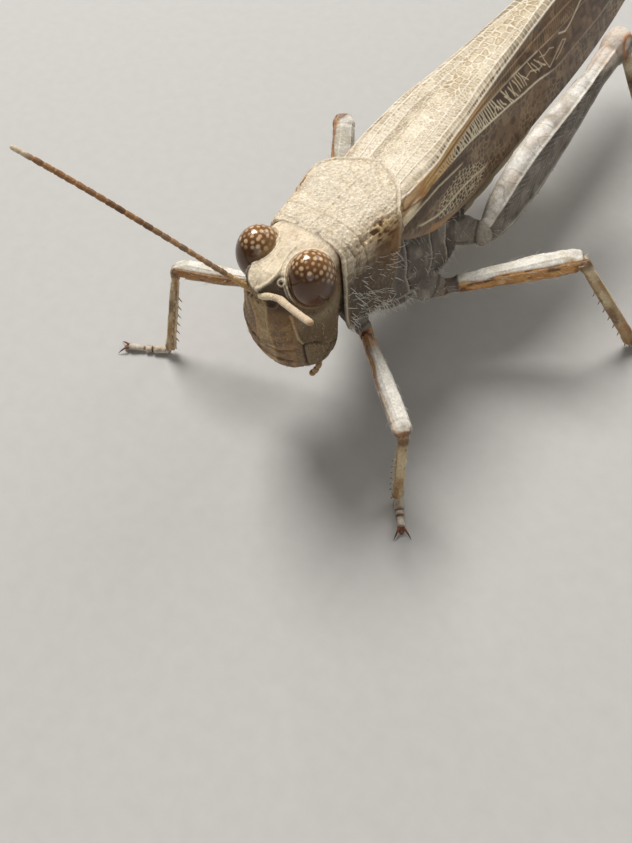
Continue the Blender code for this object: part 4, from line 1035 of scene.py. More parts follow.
def make_antenna(name, side, tip, seed, pale, bent=False):
    base = np.array([0.34 if side > 0 else -0.49, 0.14 if side > 0 else 0.20, -1.08])
    tip = np.array(tip, float)
    out = (tip - base) / np.linalg.norm(tip - base)
    start = base - out * 0.16
    length = np.linalg.norm(tip - base)
    ts = np.linspace(0, 1, 40)
    line = np.array([start + (tip - start) * t + np.array([0, 0, 0.20]) * math.sin(math.pi * t) * t for t in ts])
    if bent:
        line = np.array(BENT_FEELER)
    rows, cols = 620, 20
    path, at = resample(line, rows)
    slim = np.interp(at / at[-1], [0, 0.12, 0.24, 0.40, 1.0], [0.86, 0.92, 1.0, 0.84, 0.76]) if bent else np.interp(at / at[-1], [0, 0.3, 1.0], [0.80, 0.72, 0.80])
    scape, pedicel = 0.62, 0.92
    r = np.interp(at, [0, 0.10, 0.25, 0.50, 0.60, 0.64, 0.70, 0.84, 0.92, 0.96, 1.10, 3.0, 6.0, length * 0.93, length + 0.10, length + 0.16],
                  [0.11, 0.135, 0.15, 0.15, 0.14, 0.115, 0.13, 0.135, 0.12, 0.105, 0.118, 0.124, 0.126, 0.116, 0.095, 0.05])
    count = 24
    free = np.clip((at - pedicel) / (at[-1] - pedicel), 0, 1)
    seg = free ** 0.94 * count
    f = seg - np.floor(seg)
    joint = np.minimum(f, 1 - f) * (at[-1] - pedicel) / count
    on = smooth(0.93, 1.0, at)
    depth = 0.05 if pale else 0.13
    r = r * (1 - on * depth * bell(joint, 0.035)) * (1 + on * 0.45 * depth * np.sin(np.clip(f, 0, 1) * math.pi))
    r = r * slim
    up = np.array([0.25 * side, -0.3, 1.0])
    P, a, t, sd, top = sweep(path, r * (1 + 0.12 * on), r * (1 - 0.06 * on), cols, up)
    k = np.floor(seg).astype(np.int64)
    z0 = np.zeros_like(k)
    own = _hash(k, z0, z0, seed)
    p3 = P
    n1, n2 = noise(p3, (6, 6, 6), seed + 1), noise(p3, (16, 16, 16), seed + 2)
    # painted light: the pale feeler is cream all along, a lit copy of the brown one, as if in strong light
    if pale:
        tone = mix(srgb(226, 206, 178), srgb(206, 182, 150), 0.5 + 0.5 * n1)
        tone = mix(tone, srgb(168, 138, 106), (0.40 * bell(joint, 0.035) * on)[:, None] * np.ones(cols))
        tone = mix(tone, srgb(236, 216, 176), (0.8 * (1 - on))[:, None] * np.ones(cols))
        tone = mix(tone, srgb(196, 156, 112), (smooth(0.94, 0.99, free))[:, None] * np.ones(cols) * 0.7)
    else:
        tone = mix(srgb(160, 118, 80), srgb(118, 84, 56), 0.5 + 0.5 * n1)
        tone = mix(tone, srgb(190, 140, 90), (0.55 * bell(joint, 0.040) * on)[:, None] * np.ones(cols))
        tone = mix(tone, srgb(184, 134, 84), (0.45 * ((own > 0.66) * on))[:, None] * np.ones(cols))
        tone = mix(tone, srgb(78, 52, 34), (0.5 * ((own < 0.22) * on))[:, None] * np.ones(cols))
        ends = smooth(0.91, 0.95, free)[:, None] * np.ones(cols)
        tone = mix(tone, srgb(226, 206, 178), ends)
        root = (1 - smooth(0.9, 1.4, at))[:, None] * np.ones(cols)
        tone = mix(tone, srgb(196, 158, 104), 0.9 * root)
        # painted highlight: a paler stripe down one side of the brown feeler, as if lit there
        light = smooth(0.2, 0.8, np.cos(a - 2.2))[None, :] * smooth(0.9, 1.5, at)[:, None] * smooth(0.5, 0.25, free)[:, None]
        tone = mix(tone, srgb(206, 184, 150), 0.22 * light)
    P = P + (P - path[:, None]) * (0.10 * n2 + 0.05 * n1)[..., None]
    b = Build()
    b.grid(P, np.clip(tone * (1 + 0.10 * n2)[..., None], 0.004, 1), closed=True, cap=(True, True))
    return b.object(name)


feeler_mat = shell_material("feeler_finish", rough=0.5, grain=16000, grain_depth=0.2, mottle=0.12, spec=0.35, bump=0.3, bump_size=0.00001)
# the left feeler is painted pale as if in strong light; the right one keeps the brown
finish_piece(make_antenna("feeler_left", 1, (6.02, -3.92, 5.29), 501, True, True), feeler_mat, "feeler", "antenna_left")
finish_piece(make_antenna("feeler_right", -1, (-6.78, -3.32, 4.70), 511, False), feeler_mat, "feeler", "antenna_right")


# ------------------------------------------------------------------ mouth feelers
def make_palps(name, side):
    """The jaw palp and the smaller lip palp behind it, each of short joints with a blunt tip."""
    b = Build()
    shapes = [([(1.00, 1.95, -5.20), (1.28, 1.72, -5.62), (1.20, 1.52, -6.02), (0.98, 1.42, -6.38)], 0.150, 5),
              ([(0.55, 2.15, -5.55), (0.68, 1.98, -5.95), (0.60, 1.78, -6.32)], 0.135, 3)]
    for pts, girth, joints in shapes:
        path, at = resample(np.array(pts) * [side, 1, 1], 90)
        f = at / at[-1] * joints
        g = np.abs(f - np.round(f)) / joints * at[-1]
        inner = (np.round(f) > 0) & (np.round(f) < joints)
        r = girth * (0.80 + 0.22 * at / at[-1]) * (1 - 0.32 * bell(g, 0.045) * inner)
        r = r * np.sqrt(np.clip((at[-1] - at) / 0.14, 0.02, 1))
        P, a, *_ = sweep(path, r, r * 0.92, 18, (1, 0.2, 0.1))
        n1 = noise(P, (7, 7, 7), 601)
        tone = mix(srgb(196, 168, 130), srgb(150, 114, 78), 0.5 + 0.5 * n1)
        tone = mix(tone, srgb(120, 84, 54), (0.6 * bell(g, 0.04) * inner)[:, None] * np.ones(18))
        b.grid(P, tone, closed=True, cap=(True, True))
    return b.object(name)


finish_piece(make_palps("mouth_feelers_left", 1), feeler_mat, "palp", "palp_left")
finish_piece(make_palps("mouth_feelers_right", -1), feeler_mat, "palp", "palp_right")


# ================================================================== geometry of the pronotum (numpy only)
COLLAR_Y, APEX_Y, SHOULDER_Y, LOBE_REAR_Y = 2.86, 7.78, 6.02, 5.50
LOBE_FRONT_Z, LOBE_REAR_Z = -4.60, -4.58
PRONOTUM_SECTIONS = [
    (2.80, 0.02, 1.84, 1.74), (3.60, 0.10, 1.92, 1.84), (4.40, 0.06, 2.02, 1.98), (5.20, 0.12, 2.18, 2.18),
    (6.00, 0.12, 2.30, 2.34), (7.00, 0.02, 2.30, 2.38), (7.90, -0.12, 2.26, 2.38),
]


def saddle(y, q):
    """Points of the pronotum: q from 0 on the keel to 1 at the lower edge of the lobe."""
    top, shoulder, lower = np.moveaxis(along(PRONOTUM_SECTIONS, y), -1, 0)
    edge = LOBE_FRONT_Z + (LOBE_REAR_Z - LOBE_FRONT_Z) * np.clip((y - COLLAR_Y) / (LOBE_REAR_Y - COLLAR_Y), 0, 1)
    corner = 1.12 - 0.08 * (y - COLLAR_Y)
    s = np.clip(q / 0.3, 0, 1)
    x1, z1 = s * (shoulder - corner), top - 0.08 * s * s
    a = np.clip((q - 0.3) / 0.4, 0, 1) * math.pi / 2
    x2, z2 = shoulder - corner * (1 - np.sin(a)), top - 0.08 - corner * (1 - np.cos(a))
    s3 = np.clip((q - 0.7) / 0.3, 0, 1)
    z0 = top - 0.08 - corner
    x3, z3 = shoulder + (lower - shoulder) * s3**1.5 + 0.05 * np.sin(math.pi * s3), z0 + (edge - z0) * s3
    x = np.where(q <= 0.3, x1, np.where(q <= 0.7, x2, x3))
    z = np.where(q <= 0.3, z1, np.where(q <= 0.7, z2, z3))
    return np.stack([x, y, z], -1)


def pronotum_margins(q):
    low = np.maximum(0, (q - 0.86) / 0.14) ** 2
    front = COLLAR_Y + 0.12 * q + 0.3 * low - 0.17 * smooth(0.50, 0.66, q)
    rear = np.where(q < 0.5, APEX_Y + (SHOULDER_Y - APEX_Y) * np.minimum(q / 0.5, 1) ** 1.25,
                    SHOULDER_Y + (LOBE_REAR_Y - SHOULDER_Y) * np.clip((q - 0.5) / 0.5, 0, 1) ** 0.8 - 0.35 * low)
    return front, rear


def pronotum_grid(rows, cols):
    q = np.linspace(-1, 1, cols)
    front, rear = pronotum_margins(np.abs(q))
    t = np.linspace(0, 1, rows)
    y = front[:, None] + (rear - front)[:, None] * t[None, :]
    Q = np.repeat(q[:, None], rows, 1)
    P = saddle(y, np.abs(Q))
    P[..., 0] *= np.where(Q < 0, -1, 1)
    run = (rear - front)[:, None]
    return P, Q, t[None, :] * run, (1 - t)[None, :] * run
# ================================================================== end of the pronotum's geometry


def pronotum_paint(P, Q, df, dr):
    """Relief in mm and colour of the pronotum; df and dr are the distances to the front and rear margins."""
    y, q = P[..., 1], np.abs(Q)
    z, x = P[..., 2], P[..., 0]
    lobe = smooth(0.60, 0.78, q)
    disc = 1 - smooth(0.34, 0.5, q)
    wob = 0.05 * noise(P, 1.2, 701)
    rear_rim = bell(dr - 0.075, 0.065)
    rear_groove = bell(dr - 0.24, 0.06)
    front_rim = bell(df - 0.07, 0.06)
    front_groove = bell(df - 0.20, 0.06)
    front_rim2 = bell(df - 0.31, 0.045) * smooth(0.35, 0.5, q)
    low_rim = smooth(0.985, 0.997, q)
    keel = bell(x, 0.045) * (1 - 0.55 * bell(y - 3.86, 0.12) - 0.5 * bell(y - 3.3, 0.10)) * (0.45 + 0.25 * smooth(4.2, 6.5, y))
    # transverse grooves
    g1 = bell(y + wob - (3.86 + 0.10 * smooth(0.3, 0.7, q) + 0.35 * smooth(0.62, 1.0, q)), 0.05) * (1 - smooth(0.86, 0.95, q))
    g2 = bell(y + wob - (3.30 + 0.14 * smooth(0.45, 0.7, q) + 0.25 * smooth(0.7, 1.0, q)), 0.045) * smooth(0.12, 0.3, q) * (1 - smooth(0.80, 0.9, q))
    g3 = bell(y + wob - (3.62 + 0.05 * np.sin(q * 14)), 0.035) * smooth(0.5, 0.56, q) * (1 - smooth(0.74, 0.82, q)) * 0.7
    ridge1 = bell(y + wob - (3.98 + 0.10 * smooth(0.3, 0.7, q) + 0.35 * smooth(0.62, 1.0, q)), 0.05) * (1 - smooth(0.55, 0.72, q))
    side_keel = bell(q - 0.46 + 0.02 * noise(P, 2.0, 702), 0.018) * smooth(4.2, 4.7, y) * smooth(6.6, 5.9, y)
    pit = bell(np.hypot(x - 0.49, (y - 3.02)), 0.07) + bell(np.hypot(x + 0.49, (y - 3.02)), 0.07)

    f1, f2, own = cells(P, 8.2, 711, 0.95)
    grain = smooth(0.50, 0.10, f1)
    keep = own > (0.30 - 0.2 * smooth(4.0, 6.0, y))
    grain = grain * keep
    b1, b2, bown = cells(P * [1.0, 0.42, 1.0], 6.2, 713, 0.9)
    streaks = smooth(0.34, 0.10, b2 - b1)                # fine ridges that run along the body
    wrinkle = 1 - np.abs(fbm(P, (3.4, 1.7, 4.2), 3, 715)) * 2.4
    rough_side = smooth(0.40, 0.52, q) * (1 - smooth(0.70, 0.80, q))

    calm = 0.30 + 0.70 * smooth(0.46, 0.60, q)
    g1, g2, g3, ridge1 = g1 * calm, g2 * calm, g3 * calm, ridge1 * calm
    front_groove = front_groove * (0.25 + 0.75 * smooth(0.5, 0.62, q))
    rear_rim = rear_rim * (0.40 + 0.60 * bell(q - 0.45, 0.2))
    h = 0.050 * rear_rim - 0.030 * rear_groove + 0.022 * front_rim * (0.4 + 0.6 * smooth(0.4, 0.6, q)) - 0.022 * front_groove - 0.05 * smooth(0.35, 0.0, df) * (1 - smooth(0.35, 0.6, q))
    h += 0.04 * low_rim + 0.055 * keel - 0.060 * g1 - 0.055 * g2 - 0.04 * g3 + 0.035 * ridge1 + 0.03 * side_keel - 0.04 * pit
    h += (0.030 * grain * (1 - 0.6 * lobe) + 0.012 * streaks * disc * smooth(4.0, 4.6, y)) * (1 - rear_rim) * (1 - front_rim)
    h += 0.055 * rough_side * np.clip(wrinkle, -0.6, 1) * (0.35 + 0.65 * smooth(5.6, 4.0, y))
    h += 0.03 * lobe * np.clip(wrinkle, -0.6, 1) * 0.5 + 0.02 * fbm(P, 1.6, 3, 720)
    h -= 0.07 * lobe * bell(q - 0.80, 0.07) * bell(y - 3.6, 0.35)
    h -= 0.04 * bell(y - 3.55, 0.30) * disc

    broad, mid, fine = noise(P, 0.8, 731), noise(P, 2.6, 732), noise(P, 10.0, 733)
    cream = mix(srgb(232, 219, 196), srgb(216, 200, 172), 0.5 + 0.5 * broad)
    cream = mix(cream, srgb(246, 237, 218), 0.75 * grain + 0.2 * streaks)
    cream = mix(cream, srgb(190, 168, 134), 0.50 * smooth(0.52, 0.72, f1) * (1 - grain) + 0.25 * smooth(0.2, 0.8, mid))
    # the side lobe's own grey-brown, made darker still as painted shade
    grey = mix(srgb(108, 96, 82), srgb(84, 73, 61), 0.5 + 0.5 * broad)
    grey = mix(grey, srgb(178, 164, 142), 0.7 * grain * (own > 0.55))
    grey = mix(grey, srgb(92, 74, 56), 0.4 * smooth(0.1, 0.7, mid))
    tone = mix(cream, grey, lobe)
    tone = mix(tone, srgb(154, 126, 90), 0.55 * rough_side * smooth(0.25, -0.4, wrinkle))
    tone = mix(tone, srgb(228, 210, 176), 0.45 * rough_side * smooth(0.45, 0.95, wrinkle))
    patch = bell(y - 5.05, 0.85) * bell(q - 0.60 - 0.03 * (y - 5), 0.13)
    patch = np.clip(1.45 * patch + 0.45 * patch * noise(P, 2.3, 742), 0, 1)
    worm = np.abs(fbm(P, (3.6, 2.2, 5.2), 3, 741)) * 2.6
    ridges = smooth(0.75, 0.20, worm)
    tone = mix(tone, mix(srgb(158, 108, 58), srgb(222, 190, 140), ridges), 0.85 * patch)
    tone = mix(tone, srgb(78, 50, 28), 0.80 * smooth(0.45, 0.8, patch) * smooth(0.55, 0.95, worm))
    h += 0.045 * patch * (ridges - 0.4)
    # painted shade: dark brown over the upper hind part of the side lobe
    lobe_painted_shade = bell(q - 0.73, 0.10) * smooth(4.0, 4.9, y) * smooth(-0.9, 0.3, mid + 0.4)
    tone = mix(tone, srgb(94, 66, 36), 0.82 * lobe_painted_shade)
    corner = bell(y - 5.62, 0.45) * bell(q - 0.72, 0.10)
    tone = mix(tone, srgb(150, 104, 56), 0.6 * corner)
    tone = mix(tone, srgb(120, 88, 54), np.clip(0.55 * g1 + 0.5 * g2 + 0.6 * g3, 0, 1) * (0.35 + 0.65 * smooth(0.35, 0.6, q)))
    tone = mix(tone, srgb(124, 98, 66), 0.6 * pit)
    tone = mix(tone, srgb(150, 122, 84), 0.40 * rear_groove + 0.5 * front_groove * smooth(0.2, 0.5, q))
    tone = mix(tone, srgb(243, 230, 204), np.clip(0.70 * rear_rim * (1 - 0.55 * lobe) + 0.55 * front_rim * smooth(0.25, 0.45, q) + 0.45 * keel + 0.5 * ridge1 * disc + 0.4 * side_keel, 0, 1))
    tone = mix(tone, srgb(196, 176, 142), 0.55 * low_rim)
    tone = tone * (1 + 0.09 * fine + 0.04 * mid)[..., None]
    return h, np.clip(tone, 0.004, 1)


def make_pronotum():
    cols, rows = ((330, 220))
    P, Q, df, dr = pronotum_grid(rows, cols)
    n = normals_of(P, False)
    if n[cols // 2, rows // 2, 2] < 0:
        n = -n
    h, tone = pronotum_paint(P, Q, df, dr)
    edge = np.minimum(np.minimum(df, dr), (1 - np.abs(Q)) * 8.0)
    outer = P + n * h[..., None] - n * (0.07 * np.clip(1 - edge / 0.07, 0, 1) ** 2)[..., None]
    take = np.linspace(rows - 1, 0, 46).astype(int)
    thick = 0.20 - 0.11 * np.clip(1 - edge[:, take] / 0.16, 0, 1)
    inner = P[:, take] - n[:, take] * thick[..., None]
    ring = np.concatenate([outer, inner], axis=1)
    # painted shade: the inner face takes the outer colours darkened to 0.55
    tones = np.concatenate([tone, tone[:, take] * 0.55], axis=1)
    b = Build()
    b.grid(ring, tones, closed=True, cap=(True, True))
    return b.object("pronotum_shell")


pronotum_mat = shell_material("pronotum_finish", rough=0.58, grain=12000, grain_depth=0.24, mottle=0.10, spec=0.3, bump=0.35, bump_size=0.00002)
finish_piece(make_pronotum(), pronotum_mat, "pronotum_shell", "pronotum")


# ================================================================== thorax and abdomen
THORAX_SECTIONS = [(2.92, -0.62, 1.00, -3.70, 2.0), (3.30, -0.52, 1.16, -4.70, 2.0), (4.30, -0.56, 1.26, -5.30, 2.2), (5.30, -0.66, 1.72, -6.10, 2.4),
                   (6.40, -1.14, 2.12, -6.74, 2.8), (8.00, -1.50, 2.34, -6.92, 3.1), (9.60, -1.56, 2.40, -6.92, 3.2), (11.0, -1.50, 2.20, -6.72, 3.0),
                   (11.9, -1.46, 1.88, -6.44, 2.6)]
ABDOMEN_SECTIONS = [(12.0, -1.44, 1.80, -6.34), (14.0, -1.46, 1.84, -6.32), (17.0, -1.50, 1.80, -6.16), (20.0, -1.58, 1.64, -5.80),
                    (23.0, -1.74, 1.36, -5.18), (25.2, -1.98, 1.02, -4.56), (26.6, -2.32, 0.68, -4.04), (27.6, -2.66, 0.30, -3.54)]


def barrel(table, ys, cols):
    """Rings of the trunk, starting at its left side and running over the back."""
    sec = along(table, ys)
    top, half, belly = sec[:, 0], sec[:, 1], sec[:, 2]
    flat = sec[:, 3] if sec.shape[1] > 3 else np.full(len(ys), 2.3)
    mid = belly + 0.36 * (top - belly)
    a = np.linspace(0, 2 * math.pi, cols, endpoint=False)
    c, s = np.cos(a)[None, :], np.sin(a)[None, :]
    up = s > 0
    k = np.where(up, 2.1, flat[:, None])
    x = half[:, None] * spow(c, 2 / k) * np.where(up, 1 - (1 - 0.86) * np.abs(s), 1)
    z = mid[:, None] + np.where(up, (top - mid)[:, None], (mid - belly)[:, None]) * spow(s, 2 / k)
    y = np.repeat(ys[:, None], cols, 1)
    x = x + WING_YAW * np.maximum(0, y - YAW_FROM)
    return np.stack([x, y, z], -1), a


def seam(y, z, line, width):
    """A groove along a line drawn in side view."""
    return stroke(np.stack([y, z, y * 0], -1), [(p[0], p[1], 0) for p in line], width)


def thorax_paint(P):
    x, y, z = P[..., 0], P[..., 1], P[..., 2]
    flank = smooth(0.9, 1.4, np.abs(x))
    low = smooth(-5.6, -6.3, z)
    lines = [
        [(5.3, -0.9), (5.9, -2.6), (5.7, -4.4), (5.5, -6.0)],
        [(6.7, -1.2), (7.0, -2.7), (6.7, -4.3), (6.9, -5.4)],
        [(8.0, -1.4), (8.5, -2.9), (8.4, -4.4), (8.0, -5.8)],
        [(9.3, -1.5), (9.8, -2.9), (9.4, -4.3), (9.7, -5.9)],
        [(10.8, -1.5), (11.2, -3.0), (10.9, -4.6)],
        [(5.6, -5.3), (6.9, -5.4), (8.0, -5.8), (9.7, -5.9), (11.2, -5.6)],
    ]
    groove = np.zeros_like(x)
    rim = np.zeros_like(x)
    wob = np.stack([y + 0.08 * noise(P, 1.6, 801), z + 0.08 * noise(P, 1.6, 802)], 0)
    for line in lines:
        groove = np.maximum(groove, seam(wob[0], wob[1], line, 0.05))
        rim = np.maximum(rim, seam(wob[0] + 0.13, wob[1], line, 0.06))
    groove, rim = groove * flank, rim * flank
    # the sternum: a broad plate with lobes
    belly = [[(5.2, 0.5), (6.2, 0.7), (7.2, 0.35), (8.6, 0.7), (9.6, 1.3)], [(5.6, 0.0), (7.2, 0.0)], [(7.2, 0.35), (7.2, 0.0)], [(8.8, 0.0), (9.8, 0.6), (11.0, 1.1)]]
    under = np.zeros_like(x)
    for line in belly:
        under = np.maximum(under, stroke(np.stack([y, np.abs(x), y * 0], -1), [(p[0], p[1], 0) for p in line], 0.045))
    under = under * low
    f1, f2, own = cells(P, 7.0, 811, 0.9)
    wrinkle = 1 - np.abs(fbm(P, (2.6, 2.6, 2.6), 3, 815)) * 2.3
    h = -0.09 * groove + 0.05 * rim - 0.07 * under + 0.03 * np.clip(wrinkle, -0.5, 1) - 0.018 * smooth(0.42, 0.15, f1) * (own > 0.4)
    h += 0.06 * fbm(P, 0.9, 2, 816)
    broad, mid, fine = noise(P, 0.7, 821), noise(P, 2.4, 822), noise(P, 9.0, 823)
    tone = mix(srgb(122, 114, 105), srgb(95, 86, 78), 0.5 + 0.5 * broad)
    tone = mix(tone, srgb(166, 158, 146), 0.5 * smooth(0.2, 0.8, mid))
    tone = mix(tone, srgb(78, 66, 56), 0.5 * smooth(0.1, 0.7, -mid) * (own > 0.4))
    tone = mix(tone, srgb(60, 48, 40), 0.75 * groove + 0.5 * under)
    tone = mix(tone, srgb(196, 188, 174), 0.70 * rim)
    tone = mix(tone, srgb(164, 152, 134), 0.5 * low)
    tone = tone * (1 + 0.10 * fine)[..., None]
    return h, np.clip(tone, 0.004, 1)


def make_thorax():
    ys = np.linspace(2.92, 11.9, 190)
    P, a = barrel(THORAX_SECTIONS, ys, 230)
    n = outward(P)
    h, tone = thorax_paint(P)
    fade = (smooth(2.92, 3.1, ys) * smooth(11.9, 11.7, ys))[:, None]
    P = P + n * (h * fade)[..., None]
    b = Build()
    b.grid(P, tone, closed=True, cap=(True, True))
    # the soft pads that carry the wing roots, half under the pronotum's hind edge
    u, w = np.meshgrid(np.linspace(0.02, math.pi - 0.02, 44), np.linspace(0, 2 * math.pi, 52, endpoint=False), indexing="ij")
    d = np.stack([np.sin(u) * np.cos(w), np.cos(u), np.sin(u) * np.sin(w)], -1)
    for side in (1, -1):
        for mid, size in (((1.70, 5.70, -1.40), (0.48, 0.84, 0.66)), ((1.70, 5.72, -2.10), (0.46, 0.74, 1.05))):
            Q = d * size + mid
            fold = 1 - np.abs(fbm(Q, (2.6, 2.6, 0.9), 3, 881)) * 2.2
            Q = Q + d * (0.05 * np.clip(fold, -0.5, 1))[..., None]
            c = mix(srgb(132, 110, 82), srgb(82, 66, 48), smooth(0.5, -0.5, fold))
            c = mix(c, srgb(178, 154, 118), 0.6 * smooth(0.5, 0.95, fold))
            c = mix(c, srgb(112, 102, 90), 0.8 * smooth(-1.9, -2.6, Q[..., 2]))
            b.grid(Q * [side, 1, 1], c * (1 + 0.1 * noise(Q, 8, 882))[..., None], closed=True, cap=(True, True))
    return b.object("thorax_plates")


def make_abdomen():
    b = Build()
    ys = np.linspace(11.97, 27.6, 280)
    P, a = barrel(ABDOMEN_SECTIONS, ys, 120)
    n = outward(P)
    x, y, z = P[..., 0], P[..., 1], P[..., 2]
    edges = np.array([11.4, 13.1, 14.9, 16.8, 18.7, 20.5, 22.2, 23.7, 25.0, 26.1, 27.7])
    k = np.clip(np.searchsorted(edges, y, "right") - 1, 0, len(edges) - 2)
    t = (y - edges[k]) / (edges[k + 1] - edges[k])
    step = 0.055 * smooth(0, 0.85, t) - 0.075 * smooth(0.90, 0.99, t)
    mid_z = (P[..., 2].max(axis=1) + P[..., 2].min(axis=1))[:, None] / 2
    fold = bell((z - mid_z + 0.25), 0.10)
    h = step - 0.07 * fold + 0.015 * fbm(P, 2.4, 3, 851)
    f1, f2, own = cells(P, 6.0, 852, 0.9)
    h -= 0.012 * smooth(0.4, 0.15, f1) * (own > 0.5)
    P = P + n * (h * (smooth(11.97, 12.2, y) * smooth(27.6, 27.2, y)))[..., None]
    broad, mid, fine = noise(P, 0.7, 861), noise(P, 2.6, 862), noise(P, 9.0, 863)
    tone = mix(srgb(182, 160, 126), srgb(150, 126, 94), 0.5 + 0.5 * broad)
    tone = mix(tone, srgb(206, 192, 166), 0.6 * smooth(-0.2, -1.2, z - mid_z))
    tone = mix(tone, srgb(96, 70, 48), 0.75 * smooth(0.86, 0.98, t) + 0.35 * fold)
    band = smooth(0.0, 0.25, t) * smooth(0.6, 0.35, t) * smooth(0.1, 0.5, mid) * (z > mid_z)
    tone = mix(tone, srgb(96, 72, 50), 0.6 * band)
    tone = mix(tone, srgb(214, 194, 156), 0.35 * smooth(0.5, 0.8, t) * (1 - smooth(0.86, 0.92, t)))
    tone = np.clip(tone * (1 + 0.1 * fine)[..., None], 0.004, 1)
    b.grid(P, tone, closed=True, cap=(True, True))
    # the cerci and the four short valves at the tail
    lean = WING_YAW * (26.6 - YAW_FROM)
    for side in (1, -1):
        for pts, r0, kind in (([(lean + 0.34 * side, 26.1, -2.60), (lean + 0.52 * side, 26.7, -2.58), (lean + 0.56 * side, 27.15, -2.66)], 0.15, 0),
                              ([(lean + 0.16 * side, 26.7, -2.72), (lean + 0.20 * side, 27.3, -2.66), (lean + 0.22 * side, 27.85, -2.48)], 0.17, 1),
                              ([(lean + 0.15 * side, 26.6, -3.28), (lean + 0.19 * side, 27.2, -3.34), (lean + 0.22 * side, 27.72, -3.52)], 0.17, 1)):
            path, at = resample(pts, 40)
            f = at / at[-1]
            r = r0 * (1 - 0.25 * f) * np.sqrt(np.clip((1 - f) / 0.25, 0.02, 1))
            Q, *_ = sweep(path, r, r, 16, (0, 0, 1))
            c = mix(srgb(170, 140, 100), srgb(70, 48, 32), smooth(0.45, 0.9, f) * kind)[:, None, :] * np.ones((1, 16, 1))
            b.grid(Q, c * (1 + 0.12 * noise(Q, 8, 871))[..., None], closed=True, cap=(True, True))
    return b.object("abdomen_rings")


body_mat = shell_material("body_finish", rough=0.62, grain=10000, grain_depth=0.24, mottle=0.12, spec=0.28, bump=0.35, bump_size=0.00002)
finish_piece(make_thorax(), body_mat, "body_shell", "thorax")
finish_piece(make_abdomen(), body_mat, "body_shell", "abdomen")


# ------------------------------------------------------------------ hind wings, folded like a fan under the fore wings
def make_hindwing(name, side):
    ys = np.linspace(9.0, 29.0, 120)
    top, bend, low_x, low_z = np.moveaxis(along(WING_SECTIONS, ys), -1, 0)
    t0 = top - 0.56
    fan = np.maximum(bend - 0.62, 0.08)
    depth = np.minimum(np.where(ys < 24, 0.50, 0.50 + 0.10 * (ys - 24)), 0.9)
    cols = 96
    s = np.linspace(0, 1, cols)
    pleats = 9
    wave = np.abs(((s * pleats) % 1) * 2 - 1)
    edge_in = smooth(0, 0.04, s) * smooth(1, 0.96, s)
    x = (0.03 + fan[:, None] * s[None, :])
    up = t0[:, None] - 0.14 * s[None, :] ** 2 - (0.16 * wave * edge_in)[None, :] * (0.6 + 0.4 * np.sin(ys * 0.7))[:, None]
    z_low = t0[:, None] - depth[:, None] + (0.06 + 0.10 * wave * edge_in)[None, :]
    outer = np.stack([x, np.repeat(ys[:, None], cols, 1), up], -1)
    inner = np.stack([x, np.repeat(ys[:, None], cols, 1), np.minimum(z_low, up - 0.04)], -1)[:, ::-1]
    ring = np.concatenate([outer, inner], axis=1)
    vein = np.concatenate([wave < 0.12, (wave < 0.12)[::-1]])
    n1 = noise(ring, (4, 1.2, 4), 881)
    tone = mix(srgb(206, 196, 176), srgb(178, 166, 144), 0.5 + 0.5 * n1)
    tone = mix(tone, srgb(110, 84, 58), 0.8 * vein[None, :] * np.ones((len(ys), 1)))
    cross = smooth(0.9, 1.0, np.abs(np.sin(ring[..., 1] * 7 + 3 * noise(ring, (1, 1, 1), 882))))
    tone = mix(tone, srgb(130, 104, 76), 0.5 * cross)
    tone = mix(tone, srgb(62, 54, 48), 0.5 * smooth(19, 23, ring[..., 1]) * smooth(27, 24, ring[..., 1]))
    if side < 0:
        ring = ring * [-1, 1, 1]
    b = Build()
    b.grid(yawed(ring), tone, closed=True, cap=(True, True))
    return b.object(name)


hindwing_mat = shell_material("hindwing_finish", rough=0.35, grain=9000, grain_depth=0.12, mottle=0.10, spec=0.5, bump=0.15, bump_size=0.00001)
finish_piece(make_hindwing("hind_wing_left", 1), hindwing_mat, "hindwing", "hindwing_left")
finish_piece(make_hindwing("hind_wing_right", -1), hindwing_mat, "hindwing", "hindwing_right")


# ================================================================== legs
FORE_HIP, MID_HIP = (2.13, 3.70, -5.00), (2.80, 8.40, -6.12)
HIND_HIP, HIND_HIP_RIGHT = (3.25, 11.05, -4.72), (3.22, 11.05, -5.00)
LEGS = [
    ("fore_left", 1, FORE_HIP, (6.23, 0.51, -5.19), (6.17, 0.49, -9.76), (1.19, -1.38), 1.45),
    ("fore_right", -1, FORE_HIP, (7.03, 2.04, -5.39), (7.16, 0.64, -9.75), (2.32, -1.27), 2.15),
    ("mid_left", 1, MID_HIP, (7.35, 12.22, -4.90), (10.22, 13.72, -9.74), (0.93, 0.37), 2.25),
    ("mid_right", -1, MID_HIP, (5.90, 13.05, -3.80), (5.40, 13.30, -9.71), (0.25, 0.97), 2.25),
    ("hind_left", 1, HIND_HIP, (3.10, 22.57, -1.58), (9.10, 20.90, -9.72), (0.50, 0.866), 3.7),
    ("hind_right", -1, HIND_HIP_RIGHT, (3.15, 22.20, -4.60), (3.40, 13.60, -9.72), (0.20, -0.98), 3.5),
]
ROOTS = {"fore": ((1.05, 3.85, -4.10), 0.72), "mid": ((1.65, 7.75, -5.75), 0.90), "hind": ((1.70, 10.60, -4.90), 0.84)}


